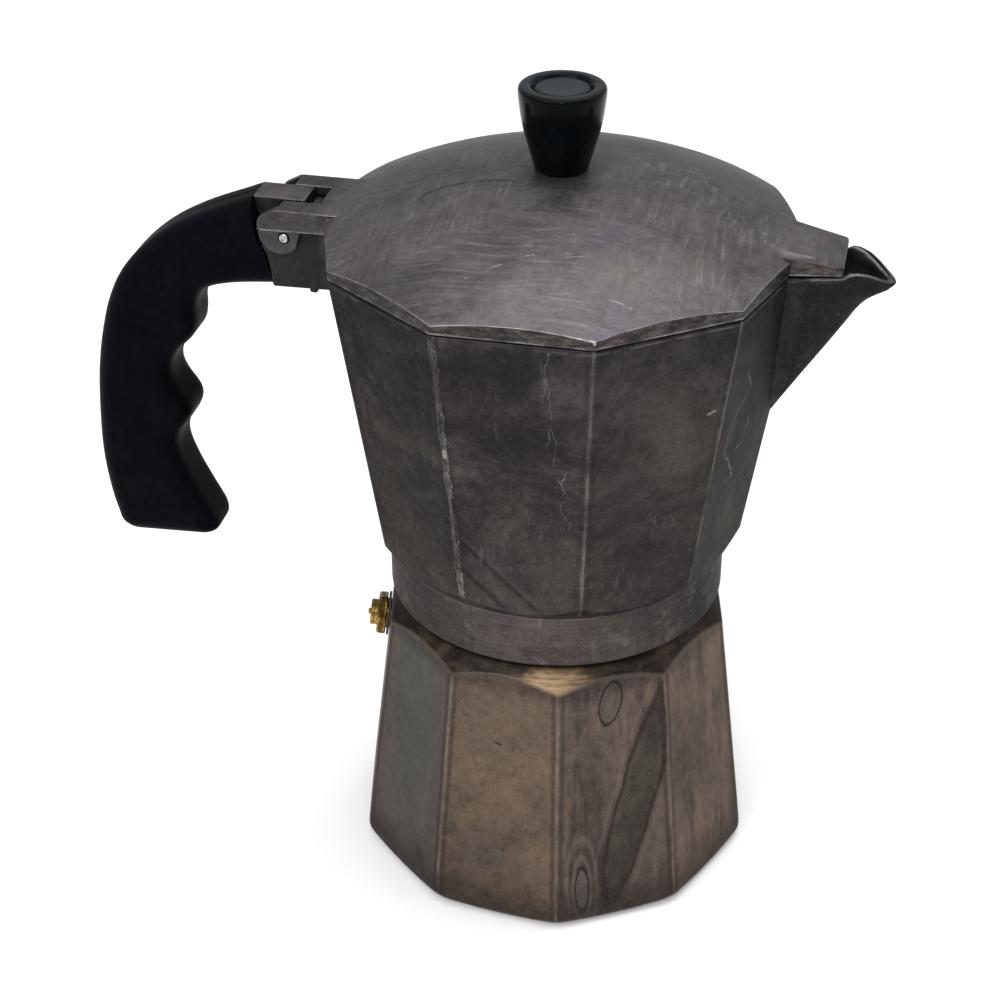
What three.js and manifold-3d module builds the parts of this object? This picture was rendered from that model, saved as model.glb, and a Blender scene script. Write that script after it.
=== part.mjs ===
// Ten-sided stovetop moka pot, built as the separate pieces it comes apart into.
// Millimetres, +Z up. Origin: centre of the boiler's flat base, on the pot's axis.
// -X is the handle and hinge side, +X is the spout side, so the XZ plane is the plane of symmetry.
import * as THREE from "three";
import { mergeVertices } from "three/addons/utils/BufferGeometryUtils.js";
import Module from "manifold-3d";

const wasm = await Module();
wasm.setup();

// ---------------------------------------------------------------- driving dimensions (mm)
const SIDES = 10; // facets of both bodies
const GAP = 0.3; // clearance between pieces that touch
const TOTAL_H = 240; // base to the top of the knob
const BOILER_TWIST = -6.08; // degrees, how far the boiler's corners stop short of the collector's
const BASE_R = 61.6, SHOULDER_R = 51.4, SHOULDER_Z = 80; // boiler, across-corner radii
const BASE_CHAMFER = 1.6;
const NECK_R = 42.6, NECK_BORE_R = 38.8, NECK_TOP = 99; // screw neck
const PITCH = 3, THREAD_TURNS = 2, THREAD_Z = 90.2, THREAD_STEPS = 30; // steps per turn
const MALE_CREST_R = 44.3, FEMALE_CREST_R = 43.3;
const SKIRT_R = 48.95, SKIRT_BORE_R = 45, SKIRT_Z = 88.45, SKIRT_TOP = 104.6;
const BODY_R0 = 53.95, BODY_Z0 = 111, BODY_R1 = 66.85, RIM_Z = 196.55; // collector, across-corner radii
const WALL = 3;
const FLOOR_UNDER = 105, FLOOR_TOP = 110.4;
const LID_Z = 196.9, LID_R = 66.9, DOME_R = 136, DOME_TOP = 216.9, LID_T = 2.4;
const PIN = { x: -74.6, z: 194.6, r: 1.4, half: 12.6 };
const EAR = { in: 10.0, out: 12.8, slot: 5.7, top: 203 };
const BRACKET = { half: 9.6, block: 5.2, under: 178.4, top: 203.2 };
const HANDLE_W = 19.4;
const VALVE = { z: 72, az: 173.92 + 18, af: 11.5 };
const KNOB_Z = 217.2, KNOB_TOP_R = 11.7, KNOB_FOOT_R = 7.4;

// ---------------------------------------------------------------- solids from three.js geometry
function tidy(g) {
  g = g.index ? g.toNonIndexed() : g;
  for (const k of Object.keys(g.attributes)) if (k !== "position") g.deleteAttribute(k);
  const m = mergeVertices(g, 1e-4);
  const src = m.index.array, keep = [];
  for (let i = 0; i < src.length; i += 3) {
    const a = src[i], b = src[i + 1], c = src[i + 2];
    if (a !== b && b !== c && a !== c) keep.push(a, b, c);
  }
  return { pos: new Float32Array(m.attributes.position.array), tri: new Uint32Array(keep) };
}
function solid(g) {
  const { pos, tri } = tidy(g);
  let s = new wasm.Manifold(new wasm.Mesh({ numProp: 3, vertProperties: pos, triVerts: tri }));
  if (s.volume() < 0) {
    for (let i = 0; i < tri.length; i += 3) [tri[i + 1], tri[i + 2]] = [tri[i + 2], tri[i + 1]];
    s = new wasm.Manifold(new wasm.Mesh({ numProp: 3, vertProperties: pos, triVerts: tri }));
  }
  return s;
}
function geometry(s) {
  const m = s.getMesh(), n = m.numProp, count = m.vertProperties.length / n;
  const pos = new Float32Array(count * 3);
  for (let i = 0; i < count; i++) for (let k = 0; k < 3; k++) pos[3 * i + k] = m.vertProperties[n * i + k];
  const g = new THREE.BufferGeometry();
  g.setAttribute("position", new THREE.BufferAttribute(pos, 3));
  g.setIndex(new THREE.BufferAttribute(new Uint32Array(m.triVerts), 1));
  return g;
}
const rad = THREE.MathUtils.degToRad;

// turned solid about Z from [r, z] pairs
function turned(profile, segments = 32, turn = 0) {
  const g = new THREE.LatheGeometry(profile.map(([r, z]) => new THREE.Vector2(r, z)), segments);
  g.rotateX(Math.PI / 2);
  if (turn) g.rotateZ(rad(turn));
  return solid(g);
}
// closed ring profile
const ring = (ri, ro, z0, z1, segments = 32) =>
  turned([[ri, z0], [ro, z0], [ro, z1], [ri, z1], [ri, z0]], segments);
const disc = (r, z0, z1, segments = 32, turn = 0) => turned([[0, z0], [r, z0], [r, z1], [0, z1]], segments, turn);
// tapered ten-sided prism with a corner at +X, turned by twist degrees
function prism(r0, z0, r1, z1, twist = 0) {
  const g = new THREE.CylinderGeometry(r1, r0, z1 - z0, SIDES, 1);
  g.rotateX(Math.PI / 2);
  g.rotateZ(rad(18 + twist));
  g.translate(0, 0, (z0 + z1) / 2);
  return solid(g);
}
function block(x0, x1, y0, y1, z0, z1) {
  const g = new THREE.BoxGeometry(x1 - x0, y1 - y0, z1 - z0);
  g.translate((x0 + x1) / 2, (y0 + y1) / 2, (z0 + z1) / 2);
  return solid(g);
}
// plate whose outline is in XZ, from y0 to y1
function plateXZ(outline, y0, y1, bevel = 0, bevelSegments = 1) {
  const shape = new THREE.Shape(outline.map(([x, z]) => new THREE.Vector2(x, z)));
  const g = new THREE.ExtrudeGeometry(shape, {
    depth: y1 - y0 - 2 * bevel, bevelEnabled: bevel > 0, bevelThickness: bevel, bevelSize: bevel,
    bevelOffset: -bevel, bevelSegments, steps: 1, curveSegments: 1,
  });
  g.translate(0, 0, bevel);
  g.rotateX(Math.PI / 2); // (x, y, z) -> (x, -z, y)
  g.translate(0, y1, 0);
  return solid(g);
}
// plate whose outline is in XY, from z0 to z1
function plateXY(outline, z0, z1) {
  const shape = new THREE.Shape(outline.map(([x, y]) => new THREE.Vector2(x, y)));
  const g = new THREE.ExtrudeGeometry(shape, { depth: z1 - z0, bevelEnabled: false, steps: 1 });
  g.translate(0, 0, z0);
  return solid(g);
}
// cylinder along Y
function rodY(r, x, z, y0, y1, segments = 20) {
  const g = new THREE.CylinderGeometry(r, r, y1 - y0, segments);
  g.translate(x, (y0 + y1) / 2, z);
  return solid(g);
}
// loft through rings of equal point count, closed at both ends by fans
function loft(rings) {
  const pos = [], idx = [], n = rings[0].length;
  for (const r of rings) for (const p of r) pos.push(p[0], p[1], p[2]);
  for (let k = 0; k + 1 < rings.length; k++)
    for (let i = 0; i < n; i++) {
      const a = k * n + i, b = k * n + ((i + 1) % n), c = a + n, d = b + n;
      idx.push(a, b, d, a, d, c);
    }
  for (const [k, side] of [[0, -1], [rings.length - 1, 1]]) {
    const flat = rings[k].map(([x, y]) => new THREE.Vector2(x, y));
    const way = side * Math.sign(THREE.ShapeUtils.area(flat));
    for (const f of THREE.ShapeUtils.triangulateShape(flat, [])) {
      const turn = Math.sign(THREE.ShapeUtils.area(f.map((v) => flat[v])));
      const [a, b, c] = f.map((v) => v + k * n);
      idx.push(...(turn === way ? [a, b, c] : [a, c, b]));
    }
  }
  const g = new THREE.BufferGeometry();
  g.setAttribute("position", new THREE.Float32BufferAttribute(pos, 3));
  g.setIndex(idx);
  return solid(g);
}
// helix with frames kept radial and upright, so a thread or spring section doesn't roll
class Helix extends THREE.Curve {
  constructor(r, pitch, turns, z0, start = 0) {
    super();
    Object.assign(this, { r, pitch, turns, z0, start });
  }
  getPoint(t, out = new THREE.Vector3()) {
    const a = this.start + 2 * Math.PI * this.turns * t;
    return out.set(this.r * Math.cos(a), this.r * Math.sin(a), this.z0 + this.pitch * this.turns * t);
  }
  getPointAt(t, out) { return this.getPoint(t, out); }
  getSpacedPoints(n) { return Array.from({ length: n + 1 }, (_, i) => this.getPoint(i / n)); }
  computeFrenetFrames(n) {
    const tangents = [], normals = [], binormals = [];
    for (let i = 0; i <= n; i++) {
      const a = this.start + (2 * Math.PI * this.turns * i) / n;
      tangents.push(new THREE.Vector3(-Math.sin(a), Math.cos(a), 0));
      normals.push(new THREE.Vector3(Math.cos(a), Math.sin(a), 0));
      binormals.push(new THREE.Vector3(0, 0, 1));
    }
    return { tangents, normals, binormals };
  }
}
function sweep(curve, section, steps) {
  const shape = new THREE.Shape(section.map(([x, y]) => new THREE.Vector2(x, y)));
  return solid(new THREE.ExtrudeGeometry(shape, { steps, bevelEnabled: false, extrudePath: curve }));
}
const union = (...s) => s.reduce((a, b) => a.add(b));

// ---------------------------------------------------------------- materials
const mat = (color, roughness, metalness) => new THREE.MeshStandardMaterial({ color, roughness, metalness });
const M = {
  boiler: mat(0x6b655d, 0.48, 0.9),
  collector: mat(0x524f50, 0.5, 0.9),
  lid: mat(0x6c686a, 0.45, 0.9),
  inner: mat(0x8d8c8a, 0.45, 0.9),
  brass: mat(0xa98a4b, 0.4, 1),
  steel: mat(0xb9b9bb, 0.3, 1),
  screw: mat(0x2c2b2b, 0.5, 0.8),
  rubber: mat(0xd9d5c8, 0.8, 0),
  bakelite: mat(0x111214, 0.55, 0),
  knob: mat(0x0c0d0e, 0.28, 0),
  fibre: mat(0x8a3b2c, 0.8, 0),
};

const pot = new THREE.Group();
function node(name, s, material, parent = pot) {
  const m = new THREE.Mesh(geometry(s), material);
  m.name = name;
  parent.add(m);
  return m;
}

// ---------------------------------------------------------------- boiler
const taper = (SHOULDER_R - BASE_R) / SHOULDER_Z;
const boilerSkin = prism(BASE_R, 0, BASE_R + taper * 92, 92, BOILER_TWIST);
const boilerProfile = turned(
  [[0, 0], [BASE_R - BASE_CHAMFER - 2.6, 0], [BASE_R + 0.4, BASE_CHAMFER + 1], [BASE_R + 0.4, 60], [SHOULDER_R, SHOULDER_Z],
   [45.2, 85.9], [43.4, 87.2], [0, 87.2]], 40, BOILER_TWIST);
const neck = disc(NECK_R, 85, NECK_TOP, THREAD_STEPS, 6);
const maleThread = sweep(
  new Helix(NECK_R, PITCH, THREAD_TURNS, THREAD_Z),
  [[-0.6, -0.8], [MALE_CREST_R - NECK_R, -0.3], [MALE_CREST_R - NECK_R, 0.3], [-0.6, 0.8]], THREAD_STEPS * THREAD_TURNS);
const boilerCavity = turned(
  [[0, 4], [51.2, 4], [54.3, 7], [45.3, 75], [43, 79.5], [NECK_BORE_R, 85], [NECK_BORE_R, NECK_TOP + 1], [0, NECK_TOP + 1]], 30, 6);

// frame of the safety valve: local +Z is the outward normal of its facet
const valveTilt = Math.atan(-taper * Math.cos(Math.PI / SIDES));
const valveApothem = (BASE_R + taper * VALVE.z) * Math.cos(Math.PI / SIDES);
const valve = new THREE.Group();
{
  const n = new THREE.Vector3(
    Math.cos(valveTilt) * Math.cos(rad(VALVE.az)), Math.cos(valveTilt) * Math.sin(rad(VALVE.az)), Math.sin(valveTilt));
  valve.quaternion.setFromUnitVectors(new THREE.Vector3(0, 0, 1), n);
  valve.position.set(valveApothem * Math.cos(rad(VALVE.az)), valveApothem * Math.sin(rad(VALVE.az)), VALVE.z);
  valve.updateMatrix();
}
function inValveFrame(s) {
  const g = geometry(s);
  g.applyMatrix4(valve.matrix);
  return solid(g);
}
let boiler = union(boilerSkin.intersect(boilerProfile), neck, maleThread)
  .subtract(boilerCavity)
  .subtract(inValveFrame(disc(5.0, -9, 3, 20)));
node("boiler", boiler, M.boiler);

// ---------------------------------------------------------------- safety valve, drawn along its own axis
pot.add(valve);
const hex = (af, z0, z1) => {
  const g = new THREE.CylinderGeometry(af / Math.sqrt(3), af / Math.sqrt(3), z1 - z0, 6);
  g.rotateX(Math.PI / 2);
  g.translate(0, 0, (z0 + z1) / 2);
  return solid(g);
};
node("valve_washer", ring(5.1, 6.6, 0.3, 1.0, 24), M.fibre, valve);
node("valve_body",
  union(hex(VALVE.af, 1.3, 4.1).intersect(turned([[0, 1.3], [6.2, 1.3], [6.75, 1.8], [6.75, 3.5], [6.1, 4.1], [0, 4.1]], 24)),
    disc(3.9, 4, 6.2, 20), disc(4.6, -7, 1.4, 20))
    .subtract(turned([[0, -8], [1.7, -8], [1.7, -5.5], [3, -5.5], [3, 7], [0, 7]], 20)),
  M.brass, valve);
node("valve_plunger", turned([[0, -5.2], [2.5, -5.2], [2.5, -4.2], [0.9, -4.2], [0.9, 6.5], [0.6, 6.9], [0, 6.9]], 16), M.brass, valve);
node("valve_spring",
  sweep(new Helix(1.9, 1.5, 5, -3.6), [[0.27, 0], [0, 0.27], [-0.27, 0], [0, -0.27]], 40), M.steel, valve);
node("valve_cap", ring(1.25, 2.7, 4.4, 5.8, 20), M.brass, valve);

// ---------------------------------------------------------------- funnel
node("funnel_basket",
  turned([[41.4, 99.3], [41.4, 100.3], [35.2, 100.3], [34.3, 99.4], [34.3, 64.2], [6.6, 58.4], [6.6, 52], [7.7, 52],
          [7.7, 57.5], [35.4, 63.4], [35.4, 98.8], [35.9, 99.3], [41.4, 99.3]], 24), M.inner);
node("funnel_stem", ring(4.6, 6.3, 9.5, 60.2, 20), M.inner);
function perforated(r, z0, z1, rows, hole, sides) {
  let s = disc(r, z0, z1, 30);
  for (const [rr, n, off] of rows)
    for (let i = 0; i < n; i++) {
      const a = rad(off + (360 * i) / n);
      const g = new THREE.CylinderGeometry(hole, hole, z1 - z0 + 2, sides);
      g.rotateX(Math.PI / 2);
      g.translate(rr * Math.cos(a), rr * Math.sin(a), (z0 + z1) / 2);
      s = s.subtract(solid(g));
    }
  return s;
}
node("funnel_screen", perforated(33.9, 64.9, 65.7, [[12, 6, 0], [25, 12, 0]], 1.6, 5), M.inner);

// ---------------------------------------------------------------- seal set
node("gasket", turned([[33, 100.6], [41.5, 100.6], [41.5, 103.7], [33, 103.7], [33, 100.6]], 30), M.rubber);
node("filter_plate", perforated(37.6, 104, 104.7, [[10, 6, 0], [22, 12, 0]], 1.4, 5), M.inner);

// ---------------------------------------------------------------- collector
const slope = (BODY_R1 - BODY_R0) / (RIM_Z - BODY_Z0);
const rAt = (z) => BODY_R0 + slope * (z - BODY_Z0);
const bodySkin = prism(rAt(103), 103, rAt(RIM_Z), RIM_Z).intersect(
  turned([[0, 103], [SKIRT_R - 1, 103], [SKIRT_R, SKIRT_TOP], [BODY_R0, BODY_Z0], [64, 123.5], [80, 130], [80, RIM_Z + 1], [0, RIM_Z + 1]], 40));
const skirt = turned([[0, SKIRT_Z], [SKIRT_R - 0.8, SKIRT_Z], [SKIRT_R, SKIRT_Z + 0.8], [SKIRT_R, SKIRT_TOP + 0.01], [0, SKIRT_TOP + 0.01]], 40);
const bodyCavity = prism(rAt(FLOOR_TOP) - WALL - 0.4, FLOOR_TOP, rAt(RIM_Z + 1) - WALL - 0.1, RIM_Z + 1).intersect(
  turned([[0, FLOOR_TOP], [44.5, FLOOR_TOP], [52.5, 117], [80, 150], [80, RIM_Z + 2], [0, RIM_Z + 2]], 40));
const skirtBore = turned(
  [[0, SKIRT_Z - 1], [SKIRT_BORE_R + 0.6, SKIRT_Z - 1], [SKIRT_BORE_R, SKIRT_Z + 0.9], [SKIRT_BORE_R, 99.4], [42, 100.4], [42, 104],
   [38.2, 104], [38.2, FLOOR_UNDER], [0, FLOOR_UNDER]], THREAD_STEPS, 6);
const femaleThread = sweep(
  new Helix(SKIRT_BORE_R, PITCH, THREAD_TURNS, THREAD_Z + PITCH / 2),
  [[0.6, -0.8], [0.6, 0.8], [FEMALE_CREST_R - SKIRT_BORE_R, 0.3], [FEMALE_CREST_R - SKIRT_BORE_R, -0.3]], THREAD_STEPS * THREAD_TURNS);

// beak: plan outline at the rim, and its keel in the plane of symmetry
const BEAK_PLAN = [[52, 13], [61.7, 13], [69, 12], [77, 10.2], [81.5, 8.6], [85.8, 6.3], [88.6, 4.2], [90.2, 1.2]];
const KEEL = [[146, 57.4], [150.2, 59.8], [162.5, 67.3], [171.7, 73.1], [181.1, 78.8], [185.7, 81.7], [187.9, 83.6], [189.6, 86.3], [190.6, 88.6], [191.6, 90], [193, 90.2], [199, 90.2]];
const lerpTable = (t, z) => {
  for (let i = 0; i + 1 < t.length; i++)
    if (z <= t[i + 1][0]) return t[i][1] + ((t[i + 1][1] - t[i][1]) * Math.max(0, z - t[i][0])) / (t[i + 1][0] - t[i][0]);
  return t[t.length - 1][1];
};
const beakHalf = (z) => 13 * Math.pow(Math.min(1, Math.max(0.02, (z - 145) / (197 - 145))), 0.9);
function beakRing(z, inset) {
  const xb = rAt(z) * Math.cos(Math.PI / SIDES) - 2, xk = lerpTable(KEEL, z) - inset, w = Math.max(0.25, beakHalf(z) - 0.8 * inset);
  const half = BEAK_PLAN.map(([x, y], i) =>
    i === 0 ? [inset ? 46 : 50, w] : [xb + ((x - 61.7) * (xk - xb)) / (90.2 - 61.7), (y * w) / 13]);
  return [...half.map(([x, y]) => [x, -y, z]), ...half.reverse().map(([x, y]) => [x, y, z])];
}
const beakOuter = loft([148, 150.2, 162.5, 171.7, 181.1, 185.7, 187.9, 189.6, 190.6, 191.6, 198.2].map((z) => beakRing(z, 0)));
const beakInner = loft([153, 162.5, 171.7, 181.1, 185.7, 187.9, 189.6, 191.2, 200].map((z) => beakRing(z, 2.8)));
// everything above the rim line goes: level round the body, a little higher past the lid, then falling to the lip
const rimCut = plateXZ([[40, 196.55], [77.2, 196.55], [77.9, 197.7], [80.2, 197.8], [83, 197.1], [85.8, 195.7], [88, 194.3], [90.5, 193.2], [96, 193.2], [96, 204], [40, 204]], -20, 20);

// bracket cast on the handle side: a wide foot, a knuckle round the hinge pin and a narrow block on top
const knuckle = [];
for (let a = 211; a >= 95; a -= 14.5) knuckle.push([PIN.x + 5 * Math.cos(rad(a)), PIN.z + 5 * Math.sin(rad(a))]);
const footOutline = [[-56, BRACKET.under + 0.4], [-79.5, BRACKET.under], [-79.9, 183], [-80.9, 188.3], [-82.1, 190.1], ...knuckle,
  [-68.4, 199.4], [-68.4, 196.4], [-56, 196.4]];
const foot = plateXZ(footOutline, -BRACKET.half, BRACKET.half);
const topBlock = plateXZ([[-85, BRACKET.top], [-84.3, 199], [-83.6, 194.6], [-83.2, 191.6], [-81.9, 189.6], [-72, 189.6], [-70.2, 199.2],
  [-70.2, 201.2], [-70.7, 202.5], [-72, BRACKET.top]], -BRACKET.block, BRACKET.block);
const tangSocket = block(-90, -65.6, -5.3, 5.3, 181, 190.6);

let collector = union(bodySkin, skirt, beakOuter.subtract(rimCut), foot.subtract(bodyCavity), topBlock)
  .subtract(bodyCavity).subtract(skirtBore).subtract(beakInner)
  .subtract(tangSocket)
  .subtract(rodY(PIN.r + GAP, PIN.x, PIN.z, -20, 20))
  .subtract(disc(6.3, FLOOR_UNDER - 1, FLOOR_TOP + 1, 24));
{
  const g = new THREE.CylinderGeometry(1.85, 1.85, 8, 16); // clearance for the handle screw
  g.rotateX(Math.PI / 2);
  g.translate(-70.2, 0, 180);
  collector = collector.subtract(solid(g));
}
collector = collector.add(femaleThread);
node("collector", collector, M.collector);

// ---------------------------------------------------------------- riser
node("column",
  turned([[4.5, 105.3], [6, 105.3], [6, 110.7], [10.5, 110.7], [10.5, 112], [8, 114], [7, 170], [4.5, 170], [4.5, 105.3]], 24), M.inner);
node("column_cap",
  turned([[0, 178.6], [3.6, 178], [6.4, 175.6], [7, 173.9], [7, 170.3], [5.6, 170.3], [5.6, 173.6], [3.2, 176.4], [0, 176.9]], 24)
    .subtract(block(-9, 9, -2.4, 2.4, 169.5, 173.4)),
  M.inner);

// ---------------------------------------------------------------- handle, its screw and the hinge pin
const HANDLE = [[-85.4, 203.0], [-90, 201.1], [-96.7, 198.5], [-103.4, 195.5], [-111, 191.3], [-118, 186], [-123.8, 180], [-127.9, 174.2],
  [-131.4, 166.5], [-133.8, 158.5], [-135.6, 150.5], [-137, 141.5], [-138, 130], [-138.5, 119], [-138.1, 109.5], [-136.9, 100.5],
  [-135, 93.2], [-133.2, 90.7], [-130, 89.9], [-124.5, 89.8], [-117, 90.9], [-110.6, 92.6], [-107, 94], [-105.2, 95.8], [-105.2, 98.3],
  [-108.2, 103.2], [-111.5, 110.3], [-113.8, 117], [-114.2, 121.6], [-112.8, 125.8], [-110.4, 129], [-108.9, 132.5], [-109.4, 135.4],
  [-111.7, 138.8], [-113.6, 142.5], [-114.1, 146.2], [-113, 150], [-110.6, 153.5], [-107.7, 156.2], [-105.6, 159.3], [-104.9, 163],
  [-104.8, 166.5], [-103.8, 170], [-101.6, 173], [-98, 174.9], [-93, 176.1], [-87.5, 176.9], [-79.9, 177.6],
  [-80.2, 183], [-81.3, 188.2], [-82.6, 190.2], [-83.6, 191.5], [-83.95, 194.6], [-84.7, 199]];
const tang = plateXZ([[-86, 181.35], [-66, 181.35], [-66, 190.2], [-86, 190.2]], -4.95, 4.95);
let handle = plateXZ(HANDLE, -HANDLE_W / 2, HANDLE_W / 2, 3, 2).add(tang);
{
  const g = new THREE.CylinderGeometry(1.8, 1.8, 7.5, 16);
  g.rotateX(Math.PI / 2);
  g.translate(-70.2, 0, 182);
  handle = handle.subtract(solid(g));
}
node("handle", handle, M.bakelite);
node("handle_screw", turned([[0, 176.2], [2.2, 176.2], [2.7, 176.8], [2.7, 178.1], [1.5, 178.1], [1.5, 185.2], [0, 185.2]], 16)
  .translate([-70.2, 0, 0]), M.screw);
node("hinge_pin", rodY(PIN.r, PIN.x, PIN.z, -PIN.half, PIN.half, 20), M.steel);

// ---------------------------------------------------------------- lid
const domeZ = (r) => DOME_TOP - DOME_R + Math.sqrt(DOME_R * DOME_R - r * r);
const dome = [[0, 190]], innerDome = [[0, 190], [61, 190], [61, LID_Z + 2.2]];
dome.push([74, 190]);
for (const r of [74, 66.9, 58, 46, 33, 20, 8]) dome.push([r, domeZ(r)]);
dome.push([0, DOME_TOP]);
for (const r of [56, 40, 24, 10]) innerDome.push([r, domeZ(r) - LID_T]);
innerDome.push([0, DOME_TOP - LID_T]);
const lidShell = prism(LID_R, LID_Z, LID_R, 222).intersect(turned(dome, 40));
const lidHollow = turned(innerDome, 30);
const earSide = [[-56, EAR.top], [-76.6, EAR.top], [-78.6, 202.5], [-80.4, 201.1], [-81.6, 199.2], [-82, 197], [-82, 195.4],
  [-81.1, 192.6], [-79.2, 190.6], [-76.5, 189.6], [-73.8, 189.9], [-71.6, 191.3], [-70.2, 193.5], [-69.8, 196.9], [-56, 196.9]];
const earTop = [[-54, 199.9], [-76.4, 199.9], [-76.7, 200.6], [-76.7, 202.4], [-76.1, EAR.top], [-54, EAR.top]];
const wingL = plateXZ(earSide, -EAR.out, -EAR.in), wingR = plateXZ(earSide, EAR.in, EAR.out);
const platform = plateXZ([[-54, 198.4], [-66.1, 198.4], [-66.1, 202.4], [-66.5, EAR.top], [-54, EAR.top]], -EAR.out, EAR.out);
const platL = plateXZ(earTop, -EAR.out, -EAR.slot), platR = plateXZ(earTop, EAR.slot, EAR.out);
const slotCut = rodY(9.75, PIN.x, PIN.z, -EAR.slot, EAR.slot, 40);
const gapL = rodY(9.3, PIN.x, PIN.z, -EAR.in, -EAR.slot + 0.01, 40).subtract(block(-100, -50, -20, 20, 199.9, 210));
const gapR = rodY(9.3, PIN.x, PIN.z, EAR.slot - 0.01, EAR.in, 40).subtract(block(-100, -50, -20, 20, 199.9, 210));
// tongue that covers the root of the spout
const tongue = plateXZ([[58, 197.1], [76.3, 197.1], [76.7, 197.6], [76.7, 198.9], [76.2, 199.3], [70, 200.3], [62, 201.9], [58, 202.2]], -12.2, 12.2)
  .intersect(plateXY([[57, -12.1], [62, -12], [75.6, -9.9], [76.8, -8.8], [76.8, 8.8], [75.6, 9.9], [62, 12], [57, 12.1]], 190, 210));
let lid = union(lidShell, tongue, wingL, wingR, platL, platR, platform.subtract(prism(LID_R - 12, 190, LID_R - 12, 198.4)))
  .subtract(lidHollow).subtract(slotCut).subtract(gapL).subtract(gapR)
  .subtract(rodY(PIN.r + GAP, PIN.x, PIN.z, -20, 20))
  .subtract(disc(2.4, 205, 220, 20));
node("lid", lid, M.lid);

// ---------------------------------------------------------------- knob
node("knob",
  turned([[0, KNOB_Z], [KNOB_FOOT_R - 0.6, KNOB_Z], [KNOB_FOOT_R, KNOB_Z + 0.6], [8.1, 221.5], [9.8, 229.5], [11.1, 235.4],
          [KNOB_TOP_R, 237.6], [KNOB_TOP_R, 238.7], [11.1, 239.6], [10, TOTAL_H], [8.6, TOTAL_H - 0.3], [7.7, 238.4], [0, 238.4]], 24)
    .subtract(turned([[0, 216], [4.3, 216], [4.3, 232.4], [0, 232.4]], 20)),
  M.knob);
node("knob_cap", turned([[0, 238.7], [7.1, 238.7], [7.1, 239.1], [6.6, 239.4], [0, 239.4]], 28), M.knob);
node("knob_insert", ring(2.2, 4.0, 217.5, 231.6, 16), M.brass);
node("knob_washer", ring(2.3, 5, 213.5, 214.2, 20), M.steel);
node("knob_screw", turned([[0, 211.4], [2.6, 211.4], [3.8, 212.2], [3.8, 213.2], [1.9, 213.2], [1.9, 230.4], [0, 230.4]], 16), M.steel);

export default pot;
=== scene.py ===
import bpy
import bmesh
import math
import numpy as np
from mathutils import Matrix, Vector


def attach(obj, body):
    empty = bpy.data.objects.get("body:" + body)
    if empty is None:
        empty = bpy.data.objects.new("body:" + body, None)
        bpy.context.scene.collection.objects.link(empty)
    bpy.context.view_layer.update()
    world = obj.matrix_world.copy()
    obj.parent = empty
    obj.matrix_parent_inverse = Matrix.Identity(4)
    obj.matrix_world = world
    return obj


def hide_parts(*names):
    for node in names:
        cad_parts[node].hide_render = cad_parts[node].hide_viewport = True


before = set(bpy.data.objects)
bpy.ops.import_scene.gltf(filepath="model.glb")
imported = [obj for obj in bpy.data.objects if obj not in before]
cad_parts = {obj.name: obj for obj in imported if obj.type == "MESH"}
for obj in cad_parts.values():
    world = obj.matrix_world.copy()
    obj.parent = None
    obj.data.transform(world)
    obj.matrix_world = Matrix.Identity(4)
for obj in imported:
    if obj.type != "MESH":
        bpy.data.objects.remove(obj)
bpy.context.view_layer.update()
MM = 0.001
SH = math.cos(math.radians(18))

# ---------------------------------------------------------------- camera first
cam_data = bpy.data.cameras.new("camera")
cam = bpy.data.objects.new("camera", cam_data)
bpy.context.scene.collection.objects.link(cam)
cam_data.sensor_width = 36
cam_data.lens = 73.11
cam_data.clip_start = 0.01
cam_data.clip_end = 50
right, up, back = Vector((0.97661, 0.21499, -0.00351)), Vector((-0.11154, 0.52048, 0.84656)), Vector((0.18383, -0.82636, 0.53229))
m = Matrix.Identity(4)
for i, axis in enumerate((right, up, back)):
    for k in range(3):
        m[k][i] = axis[k]
m.translation = Vector((0.092967, -0.494739, 0.429014))
cam.matrix_world = m
bpy.context.scene.camera = cam


# ---------------------------------------------------------------- mesh helpers (millimetres in, metres out)
def make(name, verts, faces, merge=True):
    me = bpy.data.meshes.new(name)
    me.from_pydata([tuple(float(c) * MM for c in v) for v in verts], [], [tuple(f) for f in faces])
    o = bpy.data.objects.new(name, me)
    bpy.context.scene.collection.objects.link(o)
    bm = bmesh.new()
    bm.from_mesh(me)
    if merge:
        bmesh.ops.remove_doubles(bm, verts=bm.verts, dist=1e-6)
    bmesh.ops.dissolve_degenerate(bm, dist=1e-7, edges=bm.edges)
    bmesh.ops.recalc_face_normals(bm, faces=bm.faces)
    bm.to_mesh(me)
    bm.free()
    return o


def round_corners(points, radii, steps=4, closed=False):
    """Points of a polyline with each corner turned into an arc of its radius."""
    out, n = [], len(points)
    for i, (p, rad_) in enumerate(zip(points, radii)):
        if rad_ <= 0 or (not closed and i in (0, n - 1)):
            out.append(tuple(p))
            continue
        a, b = np.array(points[i - 1], float), np.array(points[(i + 1) % n], float)
        p = np.array(p, float)
        u, v = a - p, b - p
        lu, lv = np.linalg.norm(u), np.linalg.norm(v)
        u, v = u / lu, v / lv
        half = math.acos(max(-1, min(1, float(u @ v)))) / 2
        if half > math.pi / 2 - 0.01 or half < 0.02:
            out.extend([tuple(p)] * (steps + 1))
            continue
        d = min(rad_ / math.tan(half), lu * 0.48, lv * 0.48)
        r_ = d * math.tan(half)
        c = p + (u + v) / np.linalg.norm(u + v) * (r_ / math.sin(half))
        s, e = p + u * d - c, p + v * d - c
        ang = math.acos(max(-1, min(1, float(s @ e) / (r_ * r_))))
        for k in range(steps + 1):
            t = k / steps
            w = (math.sin((1 - t) * ang) * s + math.sin(t * ang) * e) / math.sin(ang)
            out.append(tuple(c + w))
    return out


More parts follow.
